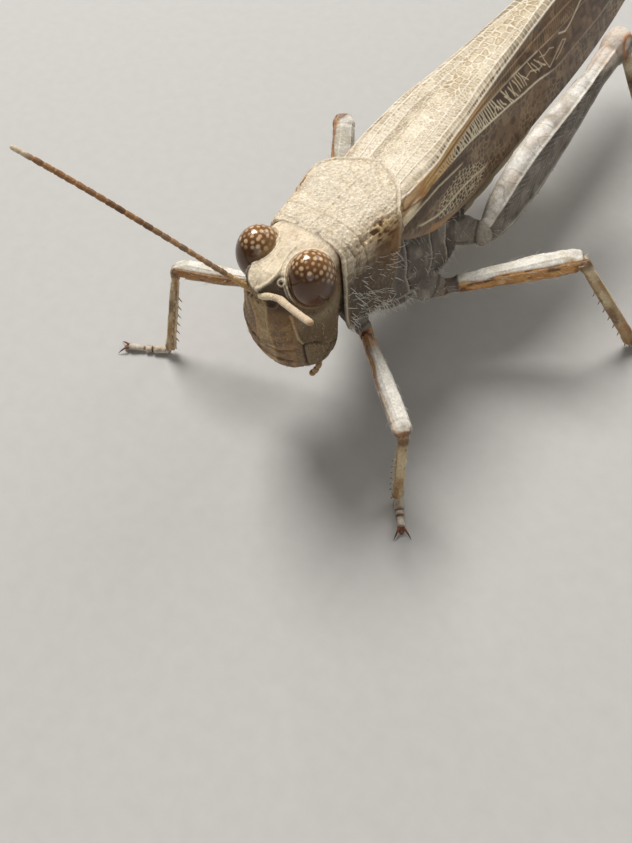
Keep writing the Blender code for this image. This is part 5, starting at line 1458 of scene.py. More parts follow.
def limb(a, b, stations, side, rows, cols, square=2.2, round_ends=0.75):
    """A leg joint from a to b: share of the length, half height, half thickness and rise for each station."""
    a, b = np.array(a, float), np.array(b, float)
    length = np.linalg.norm(b - a)
    axis = (b - a) / length
    side = np.array(side, float)
    side = side - axis * (side @ axis)
    side /= np.linalg.norm(side)
    up = np.cross(side, axis)
    if up[2] < 0:
        up = -up
    st = np.array(stations, float)
    tab = np.column_stack([st[:, 0] * length, st[:, 1:]])
    r0, r1 = round_ends * tab[0, 1], round_ends * tab[-1, 1]
    bend = 1 - np.cos(np.linspace(0, math.pi / 2, 9))
    pos = np.concatenate([tab[0, 0] - r0 + r0 * bend[:-1], np.linspace(tab[0, 0], tab[-1, 0], rows), tab[-1, 0] + r1 - r1 * bend[-2::-1]])
    par = along(tab, pos)
    e = np.minimum(np.clip((pos - tab[0, 0] + r0) / r0, 0, 1), np.clip((tab[-1, 0] + r1 - pos) / r1, 0, 1))
    f = np.sqrt(np.clip(1 - (1 - e) ** 2, 0.0009, 1))
    w = np.linspace(0, 2 * math.pi, cols, endpoint=False)
    c, s = spow(np.cos(w), 2 / square), spow(np.sin(w), 2 / square)
    mid = a + axis * pos[:, None] + up * par[:, 2:3]
    P = mid[:, None] + up * ((par[:, 0] * f)[:, None] * s)[..., None] + side * ((par[:, 1] * f)[:, None] * c)[..., None]
    return P, np.repeat((pos / length)[:, None], len(w), 1), np.repeat(w[None, :], len(pos), 0), axis, side, up, length


def spike(b, at, direction, length, girth, tones, bend=(0, 0, 0), rows=8, cols=7):
    """A tapered thorn or claw, with its tones from root to tip."""
    at, direction, bend = np.array(at, float), np.array(direction, float), np.array(bend, float)
    direction = direction / np.linalg.norm(direction)
    t = np.linspace(0, 1, rows)
    path = at + direction * (length * t)[:, None] + bend * (length * t**2)[:, None]
    r = girth * (1 - 0.93 * t**1.3)
    up = (0, 0, 1) if abs(direction[2]) < 0.9 else (0, 1, 0)
    P, *_ = sweep(path, r, r, cols, up)
    tone = mix(np.array(tones[0]) * np.ones((rows, cols, 3)), np.array(tones[1]) * np.ones((rows, cols, 3)), smooth(0.3, 0.8, t)[:, None] * np.ones(cols))
    b.grid(P, tone, closed=True, cap=(True, True))


def anterior(axis):
    front = np.cross(axis, [0, 0, 1.0])
    front /= np.linalg.norm(front)
    return -front if front[1] > 0 else front


def slim_femur(leg, side, hip, knee, seed):
    big = leg.startswith("mid")
    st = ([(0.045, 0.33, 0.33, 0), (0.105, 0.30, 0.30, 0), (0.135, 0.35, 0.34, 0), (0.22, 0.37, 0.35, 0), (0.42, 0.42, 0.38, 0.02), (0.70, 0.51, 0.45, 0.02), (0.86, 0.51, 0.46, 0), (0.94, 0.49, 0.43, 0.01), (0.985, 0.41, 0.34, 0.03)] if big
          else [(0.05, 0.25, 0.24, 0), (0.18, 0.26, 0.25, 0), (0.45, 0.33, 0.31, 0.02), (0.70, 0.39, 0.35, 0.02), (0.86, 0.39, 0.355, 0.01), (0.935, 0.36, 0.33, 0.02), (0.985, 0.28, 0.25, 0.02)])
    P, t, w, axis, sd, up, length = limb(hip, knee, st, (0, 0, 1), 170, 80, 2.45, round_ends=0.55)
    n = outward(P)
    front = anterior(axis)
    nf, nz = n @ front, n[..., 2]
    ang = np.arctan2(nz, nf)                      # 0 faces forward, a quarter turn faces up
    knee_zone = smooth(0.88, 0.93, t)
    lines = (0.62, 1.45, 2.3, 3.0, -0.55, -1.5)
    ridges = sum(bell(np.angle(np.exp(1j * (ang - a0 - 0.05 * np.sin(7 * t + a0)))), 0.075) for a0 in lines)
    p = P * [side, 1, 1]
    loc = np.stack([(P - np.array(hip)) @ axis, ang * 0.4, np.full(t.shape, 0.1 * seed)], -1)
    streak = noise(loc, (1.1, 5.0, 1), seed + 1)
    blot = noise(loc, (1.9, 3.4, 1), seed + 2)
    fleck = noise(loc, (3.2, 9.0, 1), seed + 6)
    n1, n2 = noise(p, (2.4, 2.4, 2.4), seed + 3), noise(p, (9, 9, 9), seed + 4)
    f1, f2, own = cells(p, 8.5, seed + 5)
    # the two lobes of the knee swell at the sides, with a hollow between them above and below
    lobes = bell(t - 0.95, 0.035) * np.abs(np.cos(ang)) ** 3
    cleft = smooth(0.90, 0.96, t) * (bell(np.angle(np.exp(1j * (ang - math.pi / 2))), 0.30) * 0.5 + bell(np.angle(np.exp(1j * (ang + math.pi / 2))), 0.45))
    h = 0.034 * ridges * smooth(0.05, 0.14, t) * (1 - knee_zone) + 0.014 * n1 - 0.014 * smooth(0.4, 0.15, f1) * (own > 0.5) + 0.006 * n2
    h += 0.055 * lobes - 0.060 * cleft - 0.022 * bell(t - 0.90, 0.014) + 0.025 * fbm(p, (1.5, 1.5, 1.5), 2, seed + 7)
    white = mix(srgb(232, 227, 216), srgb(202, 192, 172), smooth(-0.3, 0.9, n1))
    white = mix(white, srgb(172, 152, 122), 0.65 * smooth(0.15, 0.6, blot) * smooth(1.0, 0.3, nz))
    white = mix(white, srgb(142, 118, 88), 0.45 * smooth(0.35, 0.7, fleck) * smooth(1.0, 0.5, nz))
    if big:
        rust = mix(srgb(206, 152, 88), srgb(156, 98, 46), smooth(-0.3, 0.5, streak))
        rust = mix(rust, srgb(84, 56, 34), 0.75 * smooth(0.25, 0.6, fleck + 0.3 * blot))
        rust = mix(rust, srgb(226, 196, 146), 0.7 * smooth(0.25, 0.6, -blot))
    else:
        rust = mix(srgb(178, 128, 74), srgb(116, 78, 44), smooth(-0.3, 0.5, streak))
        rust = mix(rust, srgb(66, 44, 28), 0.70 * smooth(0.25, 0.65, fleck + 0.3 * blot))
        rust = mix(rust, srgb(206, 176, 130), 0.55 * smooth(0.25, 0.65, -blot))
    fore = smooth(-0.02, 0.30, np.cos(ang - (0.02 if big else 0.22) + 0.30 * streak) - (0.40 if big else 0.62))
    if leg == "fore_left":
        fore = fore * (1 - 0.55 * smooth(0.45, 0.75, t))
    tone = mix(white, rust, fore)
    tone = mix(tone, srgb(150, 124, 92), 0.75 * smooth(-0.3, -0.9, nz))
    tone = mix(tone, srgb(242, 236, 222), 0.60 * np.clip(ridges, 0, 1) * (1 - 0.5 * fore) * smooth(0.08, 0.2, t))
    tone = mix(tone, srgb(128, 108, 86), 0.75 * smooth(0.34, 0.06, t) * (1 - 0.7 * fore) * (0 if big else 1))
    if big:
        tone = mix(tone, mix(srgb(136, 124, 112), srgb(92, 76, 64), 0.5 + 0.5 * n1), smooth(0.145, 0.12, t))
    if leg == "fore_left":
        hue = mix(srgb(176, 126, 76), srgb(70, 48, 32), smooth(0.0, 0.4, fleck + 0.4 * n1))
        tone = mix(tone, hue, 0.85 * smooth(0.26, 0.12, t + 0.05 * streak))
    spur = knee_zone * smooth(0.1, 0.6, n1 + 0.55 * (t - 0.93) / 0.07 - 0.55 * nz)
    tone = mix(tone, mix(srgb(170, 112, 62), srgb(104, 66, 38), 0.5 + 0.5 * blot), 0.80 * spur)
    tone = mix(tone, srgb(96, 66, 42), 0.50 * cleft)
    tone = np.clip(tone * (1 + 0.10 * n2)[..., None], 0.004, 1)
    P = P + n * h[..., None]
    b = Build()
    b.grid(P * [side, 1, 1], tone, closed=True, cap=(True, True))
    # the ring joint between coxa and femur
    a0 = np.array(hip, float)
    T, t2, w2, *_ = limb(a0 - axis * 0.30, a0 + axis * 0.40, [(0.0, 0.27, 0.27, 0), (0.45, 0.40 if big else 0.31, 0.39 if big else 0.30, 0), (1.0, 0.25, 0.24, 0)], (0, 0, 1), 30, 44)
    m1, m2 = noise(T * [side, 1, 1], (3, 3, 3), seed + 8), noise(T * [side, 1, 1], (9, 9, 9), seed + 9)
    tt = mix(srgb(176, 122, 70), srgb(78, 50, 30), smooth(-0.1, 0.35, m1))
    if big:
        tt = mix(srgb(142, 128, 116), srgb(88, 68, 58), smooth(-0.1, 0.35, m1))
    tt = mix(tt, srgb(196, 172, 136), 0.5 * bell(t2 - 0.5, 0.12))
    n3 = outward(T)
    T = T + n3 * (0.02 * m1 + 0.008 * m2 - 0.04 * bell(t2 - 0.28, 0.05))[..., None]
    b.grid(T * [side, 1, 1], tt, closed=True, cap=(True, True))
    return b.object(leg + "_thigh")


def slim_tibia(leg, side, knee, ankle, seed):
    big = leg.startswith("mid")
    g = 0.27 if big else 0.22
    a, b0 = np.array(knee, float), np.array(ankle, float)
    run = np.linalg.norm(b0 - a)
    sd = (0, 1, 0) if abs(((b0 - a) / run)[1]) < 0.9 else (1, 0, 0)
    a = a - (b0 - a) / run * 0.02
    P, t, w, axis, sd, up, length = limb(a, b0, [(0.03, g * 1.02, g * 1.0, 0), (0.07, g * 1.12, g * 1.1, 0), (0.13, g * 0.92, g * 0.90, 0), (0.5, g * 0.98, g * 0.96, 0),
                                                (0.85, g, g, 0), (0.97, g * 1.22, g * 1.2, 0)], sd, 150, 56, 2.1)
    n = outward(P)
    p = P * [side, 1, 1]
    loc = np.stack([t * length, w * 0.3, np.full(t.shape, 0.1 * seed)], -1)
    streak, blot = noise(loc, (1.2, 4.0, 1), seed + 1), noise(loc, (1.5, 2.2, 1), seed + 2)
    n1, n2 = noise(p, (3, 3, 3), seed + 3), noise(p, (10, 10, 10), seed + 4)
    h = 0.014 * n1 + 0.006 * n2 + 0.030 * np.maximum(np.cos(w * 4 + 0.4), 0) ** 4 - 0.035 * bell(t - 0.15, 0.015)
    fleck = noise(loc, (2.4, 3.0, 1), seed + 5)
    tone = mix(srgb(214, 194, 156), srgb(172, 136, 94), smooth(-0.3, 0.5, streak))
    tone = mix(tone, srgb(116, 86, 56), 0.70 * smooth(0.10, 0.50, blot))
    tone = mix(tone, srgb(62, 46, 28), 0.60 * smooth(0.35, 0.7, fleck))
    tone = mix(tone, srgb(168, 116, 66), 0.55 * smooth(0.1, 0.7, -blot) * smooth(0.55, 0.9, t))
    # painted highlight: paler where the surface faces up and back towards the key light
    tone = mix(tone, srgb(228, 218, 194), 0.80 * smooth(0.35, 0.80, n @ np.array([-0.35, 0.35, 0.4]) + 0.25 * streak + 0.35 * np.maximum(np.cos(w * 4 + 0.4), 0) ** 4))
    tone = mix(tone, srgb(104, 72, 44), 0.70 * bell(t - 0.05, 0.05))
    tone = np.clip(tone * (1 + 0.12 * n2)[..., None], 0.004, 1)
    b = Build()
    b.grid((P + n * h[..., None]) * [side, 1, 1], tone, closed=True, cap=(True, True))
    # two rows of thorns along the inner lower side, and four at the end
    inner = np.array([-0.5, 0.0, 0.0])
    inner = inner - axis * (inner @ axis)
    inner /= np.linalg.norm(inner)
    across = np.cross(axis, inner)
    for k in range(6):
        s = length * (0.36 + 0.10 * k)
        for turn in (1, -1):
            d = inner * 0.75 + across * 0.62 * turn
            d /= np.linalg.norm(d)
            at = a + axis * s + d * g * 0.86
            spike(b, at * [side, 1, 1], (d + axis * 1.1) * [side, 1, 1], 0.30, 0.050, (srgb(214, 192, 150), srgb(70, 46, 30)))
    for turn in (1, -1):
        for tilt in (0.55, -0.35):
            d = inner * tilt + across * turn
            d /= np.linalg.norm(d)
            at = a + axis * length * 0.985 + d * g * 0.95
            spike(b, at * [side, 1, 1], (d * 0.55 + axis) * [side, 1, 1], 0.24, 0.05, (srgb(206, 180, 134), srgb(70, 44, 28)))
    return b.object(leg + "_shin")


def foot(leg, side, ankle, heading, length, seed, shin_axis):
    """Three foot joints with pads beneath, a soft lobe at the end and two hooked claws."""
    d = np.array([heading[0], heading[1], 0.0])
    d /= np.linalg.norm(d)
    across = np.array([-d[1], d[0], 0.0])
    floor = -STAND_HEIGHT
    hind = leg.startswith("hind")
    g = 0.20 if not hind else 0.24
    ankle = np.array(ankle, float)
    start = ankle + np.array([0, 0, -0.02])
    def at(s, z):
        return np.array([ankle[0], ankle[1], floor]) + d * (0.10 + length * s) + np.array([0, 0, z])
    joints = [([start + d * 0.02, at(0.10, g * 1.30), at(0.24, g * 1.12), at(0.38, g * 1.0)], g, 1.08),
              ([at(0.385, g * 1.05), at(0.47, g * 1.0), at(0.55, g * 0.98)], g * 0.90, 1.1),
              ([at(0.555, g * 1.05), at(0.68, g * 1.05), at(0.84, g * 1.22), at(0.955, g * 1.30)], g * 0.72, 1.25)]
    b = Build()
    for k, (pts, r0, flare) in enumerate(joints):
        path, run = resample(pts, 46)
        f = run / run[-1]
        r = r0 * (0.86 + (flare - 0.86) * smooth(0.1, 0.95, f)) * np.sqrt(np.clip(np.minimum(f / 0.10, (1 - f) / 0.10), 0.03, 1))
        P, a, *_ = sweep(path, r, r * 0.92, 34, (0, 0, 1))
        p = P * [side, 1, 1]
        n1, n2 = noise(p, (4.5, 4.5, 4.5), seed + k), noise(p, (11, 11, 11), seed + 20 + k)
        P = path[:, None] + (P - path[:, None]) * (1 + 0.05 * n1 + 0.03 * n2)[..., None]
        # the pads swell downward to the floor
        low = np.clip(-(P[..., 2] - path[:, None, 2]) / np.maximum(r[:, None], 1e-4), 0, 1)
        pads = np.maximum(0, np.sin(f * math.pi * (2 if k == 0 else 1))) ** 0.6 if k < 2 else 0.25 * np.sin(f * math.pi)
        goal = floor + 0.015
        P[..., 2] = P[..., 2] * (1 - low**1.5 * pads[:, None]) + (low**1.5 * pads[:, None]) * np.minimum(P[..., 2], goal + 0.04 * (1 - low))
        P[..., 2] = np.maximum(P[..., 2], floor + 0.012)
        tone = mix(srgb(214, 204, 188), srgb(176, 156, 130), smooth(-0.3, 0.7, n1))
        ends = np.maximum(bell(f - 0.0, 0.12), bell(f - 1.0, 0.12))[:, None] * np.ones(34)
        tone = mix(tone, srgb(128, 84, 56), 0.65 * ends)
        tone = mix(tone, srgb(120, 84, 56), 0.5 * smooth(0.3, 0.9, low))
        b.grid(P * [side, 1, 1], np.clip(tone * (1 + 0.1 * n2)[..., None], 0.004, 1), closed=True, cap=(True, True))
    end = at(0.96, g * 1.30)
    for s in (1, -1):
        root = end + across * s * g * 0.42
        drop = (root[2] - floor - 0.02)
        reach = 0.55 if not hind else 0.70
        spike(b, root * [side, 1, 1], (d * 1.0 + across * 0.62 * s + np.array([0, 0, 0.10])) * [side, 1, 1], reach, 0.062,
              (srgb(132, 80, 52), srgb(42, 24, 18)), bend=np.array([0, 0, -(drop / reach) - 0.06]), rows=14, cols=9)
    path, run = resample([end - d * 0.06 + [0, 0, -0.03], end + d * 0.12 + [0, 0, -0.10], end + d * 0.24 + [0, 0, -0.17]], 16)
    f = run / run[-1]
    r = 0.115 * np.sqrt(np.clip(np.minimum((f + 0.1) / 0.3, (1 - f) / 0.35), 0.03, 1))
    P, *_ = sweep(path, r, r * 0.6, 18, (0, 0, 1))
    b.grid(P * [side, 1, 1], srgb(120, 84, 66) * np.ones(P.shape), closed=True, cap=(True, True))
    return b.object(leg + "_foot")


def hind_thigh(leg, side, hip, knee, seed):
    h0, w0 = 1.65, 0.71
    st = [(0.03, h0 * 0.46, w0 * 0.62, -0.10), (0.09, h0 * 0.74, w0 * 0.82, -0.06), (0.18, h0 * 0.94, w0 * 0.94, 0.0), (0.28, h0, w0, 0.02),
          (0.40, h0 * 0.92, w0, 0.03), (0.54, h0 * 0.71, w0 * 0.93, 0.04), (0.68, h0 * 0.52, w0 * 0.80, 0.03),
          (0.80, h0 * 0.40, w0 * 0.68, 0.03), (0.88, h0 * 0.40, w0 * 0.72, 0.02), (0.95, h0 * 0.48, w0 * 0.88, 0.0), (0.985, h0 * 0.46, w0 * 0.84, 0.0)]
    P, t, w, axis, sd, up, length = limb(hip, knee, st, (1, 0, 0), 300, 150, 2.35, round_ends=0.5)
    n = outward(P)
    loc_y = t * length
    half_h = along(np.column_stack([np.array(st)[:, 0], np.array(st)[:, 1]]), np.clip(t, 0.03, 0.985))[..., 0]
    turned = w - 0.40                                  # the broad outer face looks a little upward
    v = spow(np.sin(turned), 2 / 2.35)                 # -1 at the lower edge, 1 at the upper edge
    outer = np.cos(turned) > 0
    inner = ~outer
    knee_zone = smooth(0.885, 0.905, t)
    body = 1 - knee_zone
    end = smooth(0.04, 0.10, t)
    up_line, low_line = 0.60, -0.66
    def line_at(v0, wd, who=outer):
        return bell((v - v0) * half_h, wd) * who * end
    top_ridge = bell((np.angle(np.exp(1j * (turned - math.pi / 2)))) * half_h, 0.09) + 0.7 * bell((np.angle(np.exp(1j * (turned - math.pi / 2 - 0.16)))) * half_h, 0.07) * smooth(0.5, 0.2, t)
    low_ridge = bell((np.angle(np.exp(1j * (turned + math.pi / 2)))) * half_h, 0.10)
    carina = line_at(up_line, 0.055) * body
    carina2 = line_at(low_line, 0.055) * body
    carina3 = line_at(up_line, 0.05, inner) * body
    band = outer * smooth(low_line + 0.04, low_line + 0.10, v) * (1 - smooth(up_line - 0.10, up_line - 0.04, v)) * end * (1 - smooth(0.80, 0.86, t))
    centre = (up_line + low_line) / 2
    chev = loc_y / 0.40 + 1.25 * np.abs(v - centre) * half_h / 0.40 + 0.12 * noise(P, (1.4, 1.4, 1.4), seed)
    f = chev - np.floor(chev)
    rib = bell(np.minimum(f, 1 - f) * 0.40, 0.075)
    spine = bell((v - centre) * half_h, 0.045)
    p = P * [side, 1, 1]
    n0, n1, n2 = noise(p, (0.8, 0.8, 0.8), seed + 1), noise(p, (2.6, 2.6, 2.6), seed + 2), noise(p, (9, 9, 9), seed + 3)
    g1, g2, own = cells(p, 7.5, seed + 4)
    grain = smooth(0.42, 0.12, g1) * (own > 0.4)
    h = 0.075 * carina + 0.06 * carina2 + 0.05 * carina3 + 0.07 * top_ridge * end * body + 0.05 * low_ridge * end * body
    h += -0.085 * band * smooth(0.0, 0.5, 1 - np.abs(v - centre)) + 0.022 * band * np.maximum(rib, spine)
    h += 0.015 * n1 + 0.012 * grain * (1 - band) + 0.005 * n2
    h += -0.025 * bell(t - 0.893, 0.008) * smooth(-0.2, 0.2, v + 0.2) + 0.06 * bell(t - 0.945, 0.03) * outer - 0.05 * bell(t - 0.76, 0.03) * smooth(0.0, 0.6, v)
    # the crescent of the knee: a raised lobe on each side
    ky, kv = (t - 0.955) * length, (v + 0.05) * half_h
    crescent = bell(np.hypot(ky, kv * 0.8) - 0.42, 0.085) * smooth(-0.50, -0.15, ky + 0.25)
    h += 0.04 * crescent
    mott = noise(p, (1.9, 1.9, 1.9), seed + 7)
    white = mix(srgb(236, 231, 222), srgb(208, 199, 184), smooth(-0.5, 0.9, n1))
    white = mix(white, srgb(216, 190, 166), 0.30 * smooth(0.1, 0.7, n0))
    white = mix(white, srgb(154, 136, 114), 0.50 * smooth(0.30, 0.70, noise(p, (1.5, 1.5, 1.5), seed + 6)))
    white = mix(white, srgb(166, 148, 124), 0.45 * smooth(0.45, 0.1, g1) * (own > 0.72))
    white = mix(white, srgb(146, 134, 120), 0.55 * smooth(0.10, 0.02, np.abs(mott)) * smooth(-0.2, 0.4, n0 + 0.3))
    # below the upper keel the thigh's own grey, made darker still as painted shade
    grey = mix(srgb(122, 114, 104), srgb(92, 82, 72), 0.5 + 0.5 * n0)
    grey = mix(grey, srgb(70, 58, 48), 0.65 * smooth(0.15, 0.6, n1))
    grey = mix(grey, srgb(152, 145, 134), 0.60 * smooth(0.10, 0.55, mott))
    grey = mix(grey, srgb(166, 160, 150), 0.34 * np.maximum(rib, spine) * band + 0.5 * grain * (1 - band))
    dorsal = np.where(outer, smooth(up_line - 0.02, up_line + 0.04, v), smooth(0.1, 0.5, v))
    tone = mix(grey, white, dorsal)
    tone = mix(tone, srgb(168, 160, 146), 0.55 * outer * (1 - smooth(low_line - 0.04, low_line + 0.02, v)))
    tone = mix(tone, srgb(92, 74, 56), 0.55 * (bell(t - 0.47, 0.035) + bell(t - 0.70, 0.03)) * smooth(-0.3, 0.5, n1 + 0.3) * (1 - 0.5 * dorsal))
    tone = mix(tone, srgb(240, 234, 220), 0.85 * np.clip(carina + 0.8 * carina3, 0, 1) + 0.5 * carina2)
    tone = mix(tone, srgb(206, 190, 164), 0.65 * np.clip(top_ridge + low_ridge, 0, 1) * end)
    pink = mix(srgb(234, 220, 206), srgb(214, 190, 166), 0.5 + 0.5 * n1)
    tone = mix(tone, pink, 0.75 * smooth(0.76, 0.84, t) * smooth(-0.2, 0.4, v + 0.2))
    tone = mix(tone, srgb(150, 112, 80), 0.35 * bell(t - 0.893, 0.008))
    tone = mix(tone, srgb(82, 66, 52), 0.70 * smooth(0.62, 0.66, t + 0.03 * n1) * smooth(0.74, 0.70, t + 0.03 * n1) * smooth(0.2, 0.75, n0 + 0.5 * v))
    tone = mix(tone, mix(srgb(186, 118, 52), srgb(104, 62, 32), smooth(-0.2, 0.5, n1)), 0.9 * crescent)
    tone = mix(tone, srgb(66, 42, 28), 0.75 * bell(np.hypot(ky - 0.15, kv + 0.05), 0.18) * outer)
    tone = mix(tone, srgb(150, 126, 84), 0.5 * inner * (1 - dorsal))
    tone = np.clip(tone * (1 + 0.10 * n2)[..., None], 0.004, 1)
    b = Build()
    P = P + n * h[..., None]
    b.grid(P * [side, 1, 1], tone, closed=True, cap=(True, True))
    # a few short teeth along the lower edge
    bottom = int(np.argmin(np.abs(w[0] - (1.5 * math.pi + 0.40))))
    for share in (0.22, 0.31, 0.42, 0.53):
        r = int(np.argmin(np.abs(t[:, 0] - share)))
        spike(b, (P[r, bottom] - n[r, bottom] * 0.04) * [side, 1, 1], (n[r, bottom] + 0.9 * axis) * [side, 1, 1], 0.28, 0.070, (srgb(206, 196, 178), srgb(150, 132, 110)))
    return b.object(leg + "_thigh")


def hind_tibia(leg, side, knee, ankle, seed):
    g = 0.27
    a, b0 = np.array(knee, float), np.array(ankle, float)
    run = np.linalg.norm(b0 - a)
    sd = (0, 1, 0) if abs(((b0 - a) / run)[1]) < 0.9 else (1, 0, 0)
    P, t, w, axis, sd, up, length = limb(a, b0, [(0.02, g * 1.05, g * 1.0, 0), (0.055, g * 1.25, g * 1.15, 0), (0.10, g * 0.92, g * 0.88, 0), (0.5, g * 0.94, g * 0.92, 0),
                                                (0.88, g * 1.02, g, 0), (0.975, g * 1.30, g * 1.25, 0)], sd, 240, 56, 2.1)
    n = outward(P)
    p = P * [side, 1, 1]
    n1, n2 = noise(p, (2.2, 2.2, 2.2), seed + 1), noise(p, (10, 10, 10), seed + 2)
    h = 0.012 * n1 + 0.005 * n2 - 0.035 * bell(t - 0.085, 0.010)
    tone = mix(srgb(214, 198, 160), srgb(184, 160, 120), 0.5 + 0.5 * n1)
    tone = mix(tone, srgb(176, 178, 168), 0.5 * smooth(0.35, 0.5, t) * smooth(0.95, 0.8, t))
    tone = mix(tone, srgb(96, 70, 46), 0.8 * bell(t - 0.035, 0.03) + 0.75 * bell(t - 0.20, 0.035) + 0.55 * smooth(0.93, 1.0, t))
    tone = mix(tone, srgb(234, 222, 194), 0.7 * bell(t - 0.13, 0.022))
    tone = np.clip(tone * (1 + 0.12 * n2)[..., None], 0.004, 1)
    b = Build()
    b.grid((P + n * h[..., None]) * [side, 1, 1], tone, closed=True, cap=(True, True))
    # thorns stand in two rows on the side away from the body's thigh
    back = np.array([0.35, 0.9, 0.35]) if side > 0 else np.array([0.0, -0.15, -1.0])
    back = back - axis * (back @ axis)
    back /= np.linalg.norm(back)
    across = np.cross(axis, back)
    for k in range(9):
        s = length * (0.30 + 0.070 * k)
        for turn in (1, -1):
            d = back * 0.85 + across * 0.52 * turn
            at = a + axis * (s + 0.12 * (turn > 0)) + d * g * 0.82
            spike(b, at * [side, 1, 1], (d + axis * 0.85) * [side, 1, 1], 0.46, 0.062, (srgb(224, 208, 170), srgb(34, 24, 18)))
    for turn in (1, -1):
        for tilt in (0.45, -0.55):
            d = back * tilt + across * turn
            d /= np.linalg.norm(d)
            at = a + axis * length * 0.985 + d * g * 1.0
            spike(b, at * [side, 1, 1], (d * 0.5 + axis) * [side, 1, 1], 0.42, 0.06, (srgb(220, 202, 160), srgb(40, 28, 20)))
    return b.object(leg + "_shin")


def coxa_piece(leg, side, root, hip, girth, seed):
    kind = leg.split("_")[0]
    gr = {"fore": 0.48, "mid": 0.76, "hind": 0.63}[kind]
    end = {"fore": 0.34, "mid": 0.44, "hind": 0.56}[kind]
    P, t, w, axis, sd, up, length = limb(root, hip, [(0.08, gr, gr * 0.98, 0), (0.45, gr * 0.97, gr * 0.95, 0.0), (0.75, gr * 0.80, gr * 0.78, 0), (0.92, end, end * 0.95, 0)], (0, 1, 0), 76, 84, 2.2)
    n = outward(P)
    p = P * [side, 1, 1]
    groove = bell(np.angle(np.exp(1j * (w - 0.9))), 0.12) + bell(np.angle(np.exp(1j * (w - 3.6))), 0.10)
    n0, n1, n2 = noise(p, (1.0, 1.0, 1.0), seed + 1), noise(p, (2.8, 2.8, 2.8), seed + 2), noise(p, (9, 9, 9), seed + 3)
    ring = bell(t - 0.80, 0.035)
    wrinkle = 1 - np.abs(fbm(p, (3.0, 3.0, 3.0), 3, seed + 4)) * 2.3
    h = -0.07 * groove * smooth(0.95, 0.7, t) + 0.03 * n1 - 0.05 * ring + 0.03 * np.clip(wrinkle, -0.5, 1) + 0.006 * n2
    light = 1.0 if kind == "hind" else 0.0
    tone = mix(srgb(136, 128, 118), srgb(104, 95, 85), 0.5 + 0.5 * n0)
    tone = mix(tone, mix(srgb(172, 164, 152), srgb(140, 131, 119), 0.5 + 0.5 * n0), light)
    tone = mix(tone, srgb(178, 170, 158), 0.55 * smooth(0.1, 0.8, n1))
    tone = mix(tone, srgb(196, 188, 176), 0.6 * light * bell(np.angle(np.exp(1j * (w - 1.15))), 0.09) * smooth(0.95, 0.7, t))
    tone = mix(tone, srgb(64, 50, 40), 0.6 * groove * smooth(0.95, 0.7, t) + 0.55 * ring)
    tone = mix(tone, srgb(150, 122, 92), (0.10 if kind == "hind" else 0.45) * smooth(0.82, 0.95, t) * (0.5 + 0.5 * n1))
    tone = np.clip(tone * (1 + 0.1 * n2)[..., None], 0.004, 1)
    b = Build()
    b.grid((P + n * h[..., None]) * [side, 1, 1], tone, closed=True, cap=(True, True))
    return b.object(leg + "_hip")


leg_mat = shell_material("leg_finish", rough=0.5, grain=12000, grain_depth=0.2, mottle=0.10, spec=0.35, bump=0.3, bump_size=0.000015)
for number, (leg, side, hip, knee, ankle, heading, length) in enumerate(LEGS):
    kind = leg.split("_")[0]
    seed = 900 + 40 * number
    root, girth = ROOTS[kind]
    finish_piece(coxa_piece(leg, side, root, hip, girth, seed), body_mat, "coxa", leg + "_coxa")
    if kind == "hind":
        finish_piece(hind_thigh(leg, side, hip, knee, seed + 5), leg_mat, "thigh", leg + "_femur")
        finish_piece(hind_tibia(leg, side, knee, ankle, seed + 15), leg_mat, "shin", leg + "_tibia")
    else:
        finish_piece(slim_femur(leg, side, hip, knee, seed + 5), leg_mat, "thigh", leg + "_femur")
        finish_piece(slim_tibia(leg, side, knee, ankle, seed + 15), leg_mat, "shin", leg + "_tibia")
    finish_piece(foot(leg, side, ankle, heading, length, seed + 25, None), leg_mat, "foot", leg + "_tarsus")
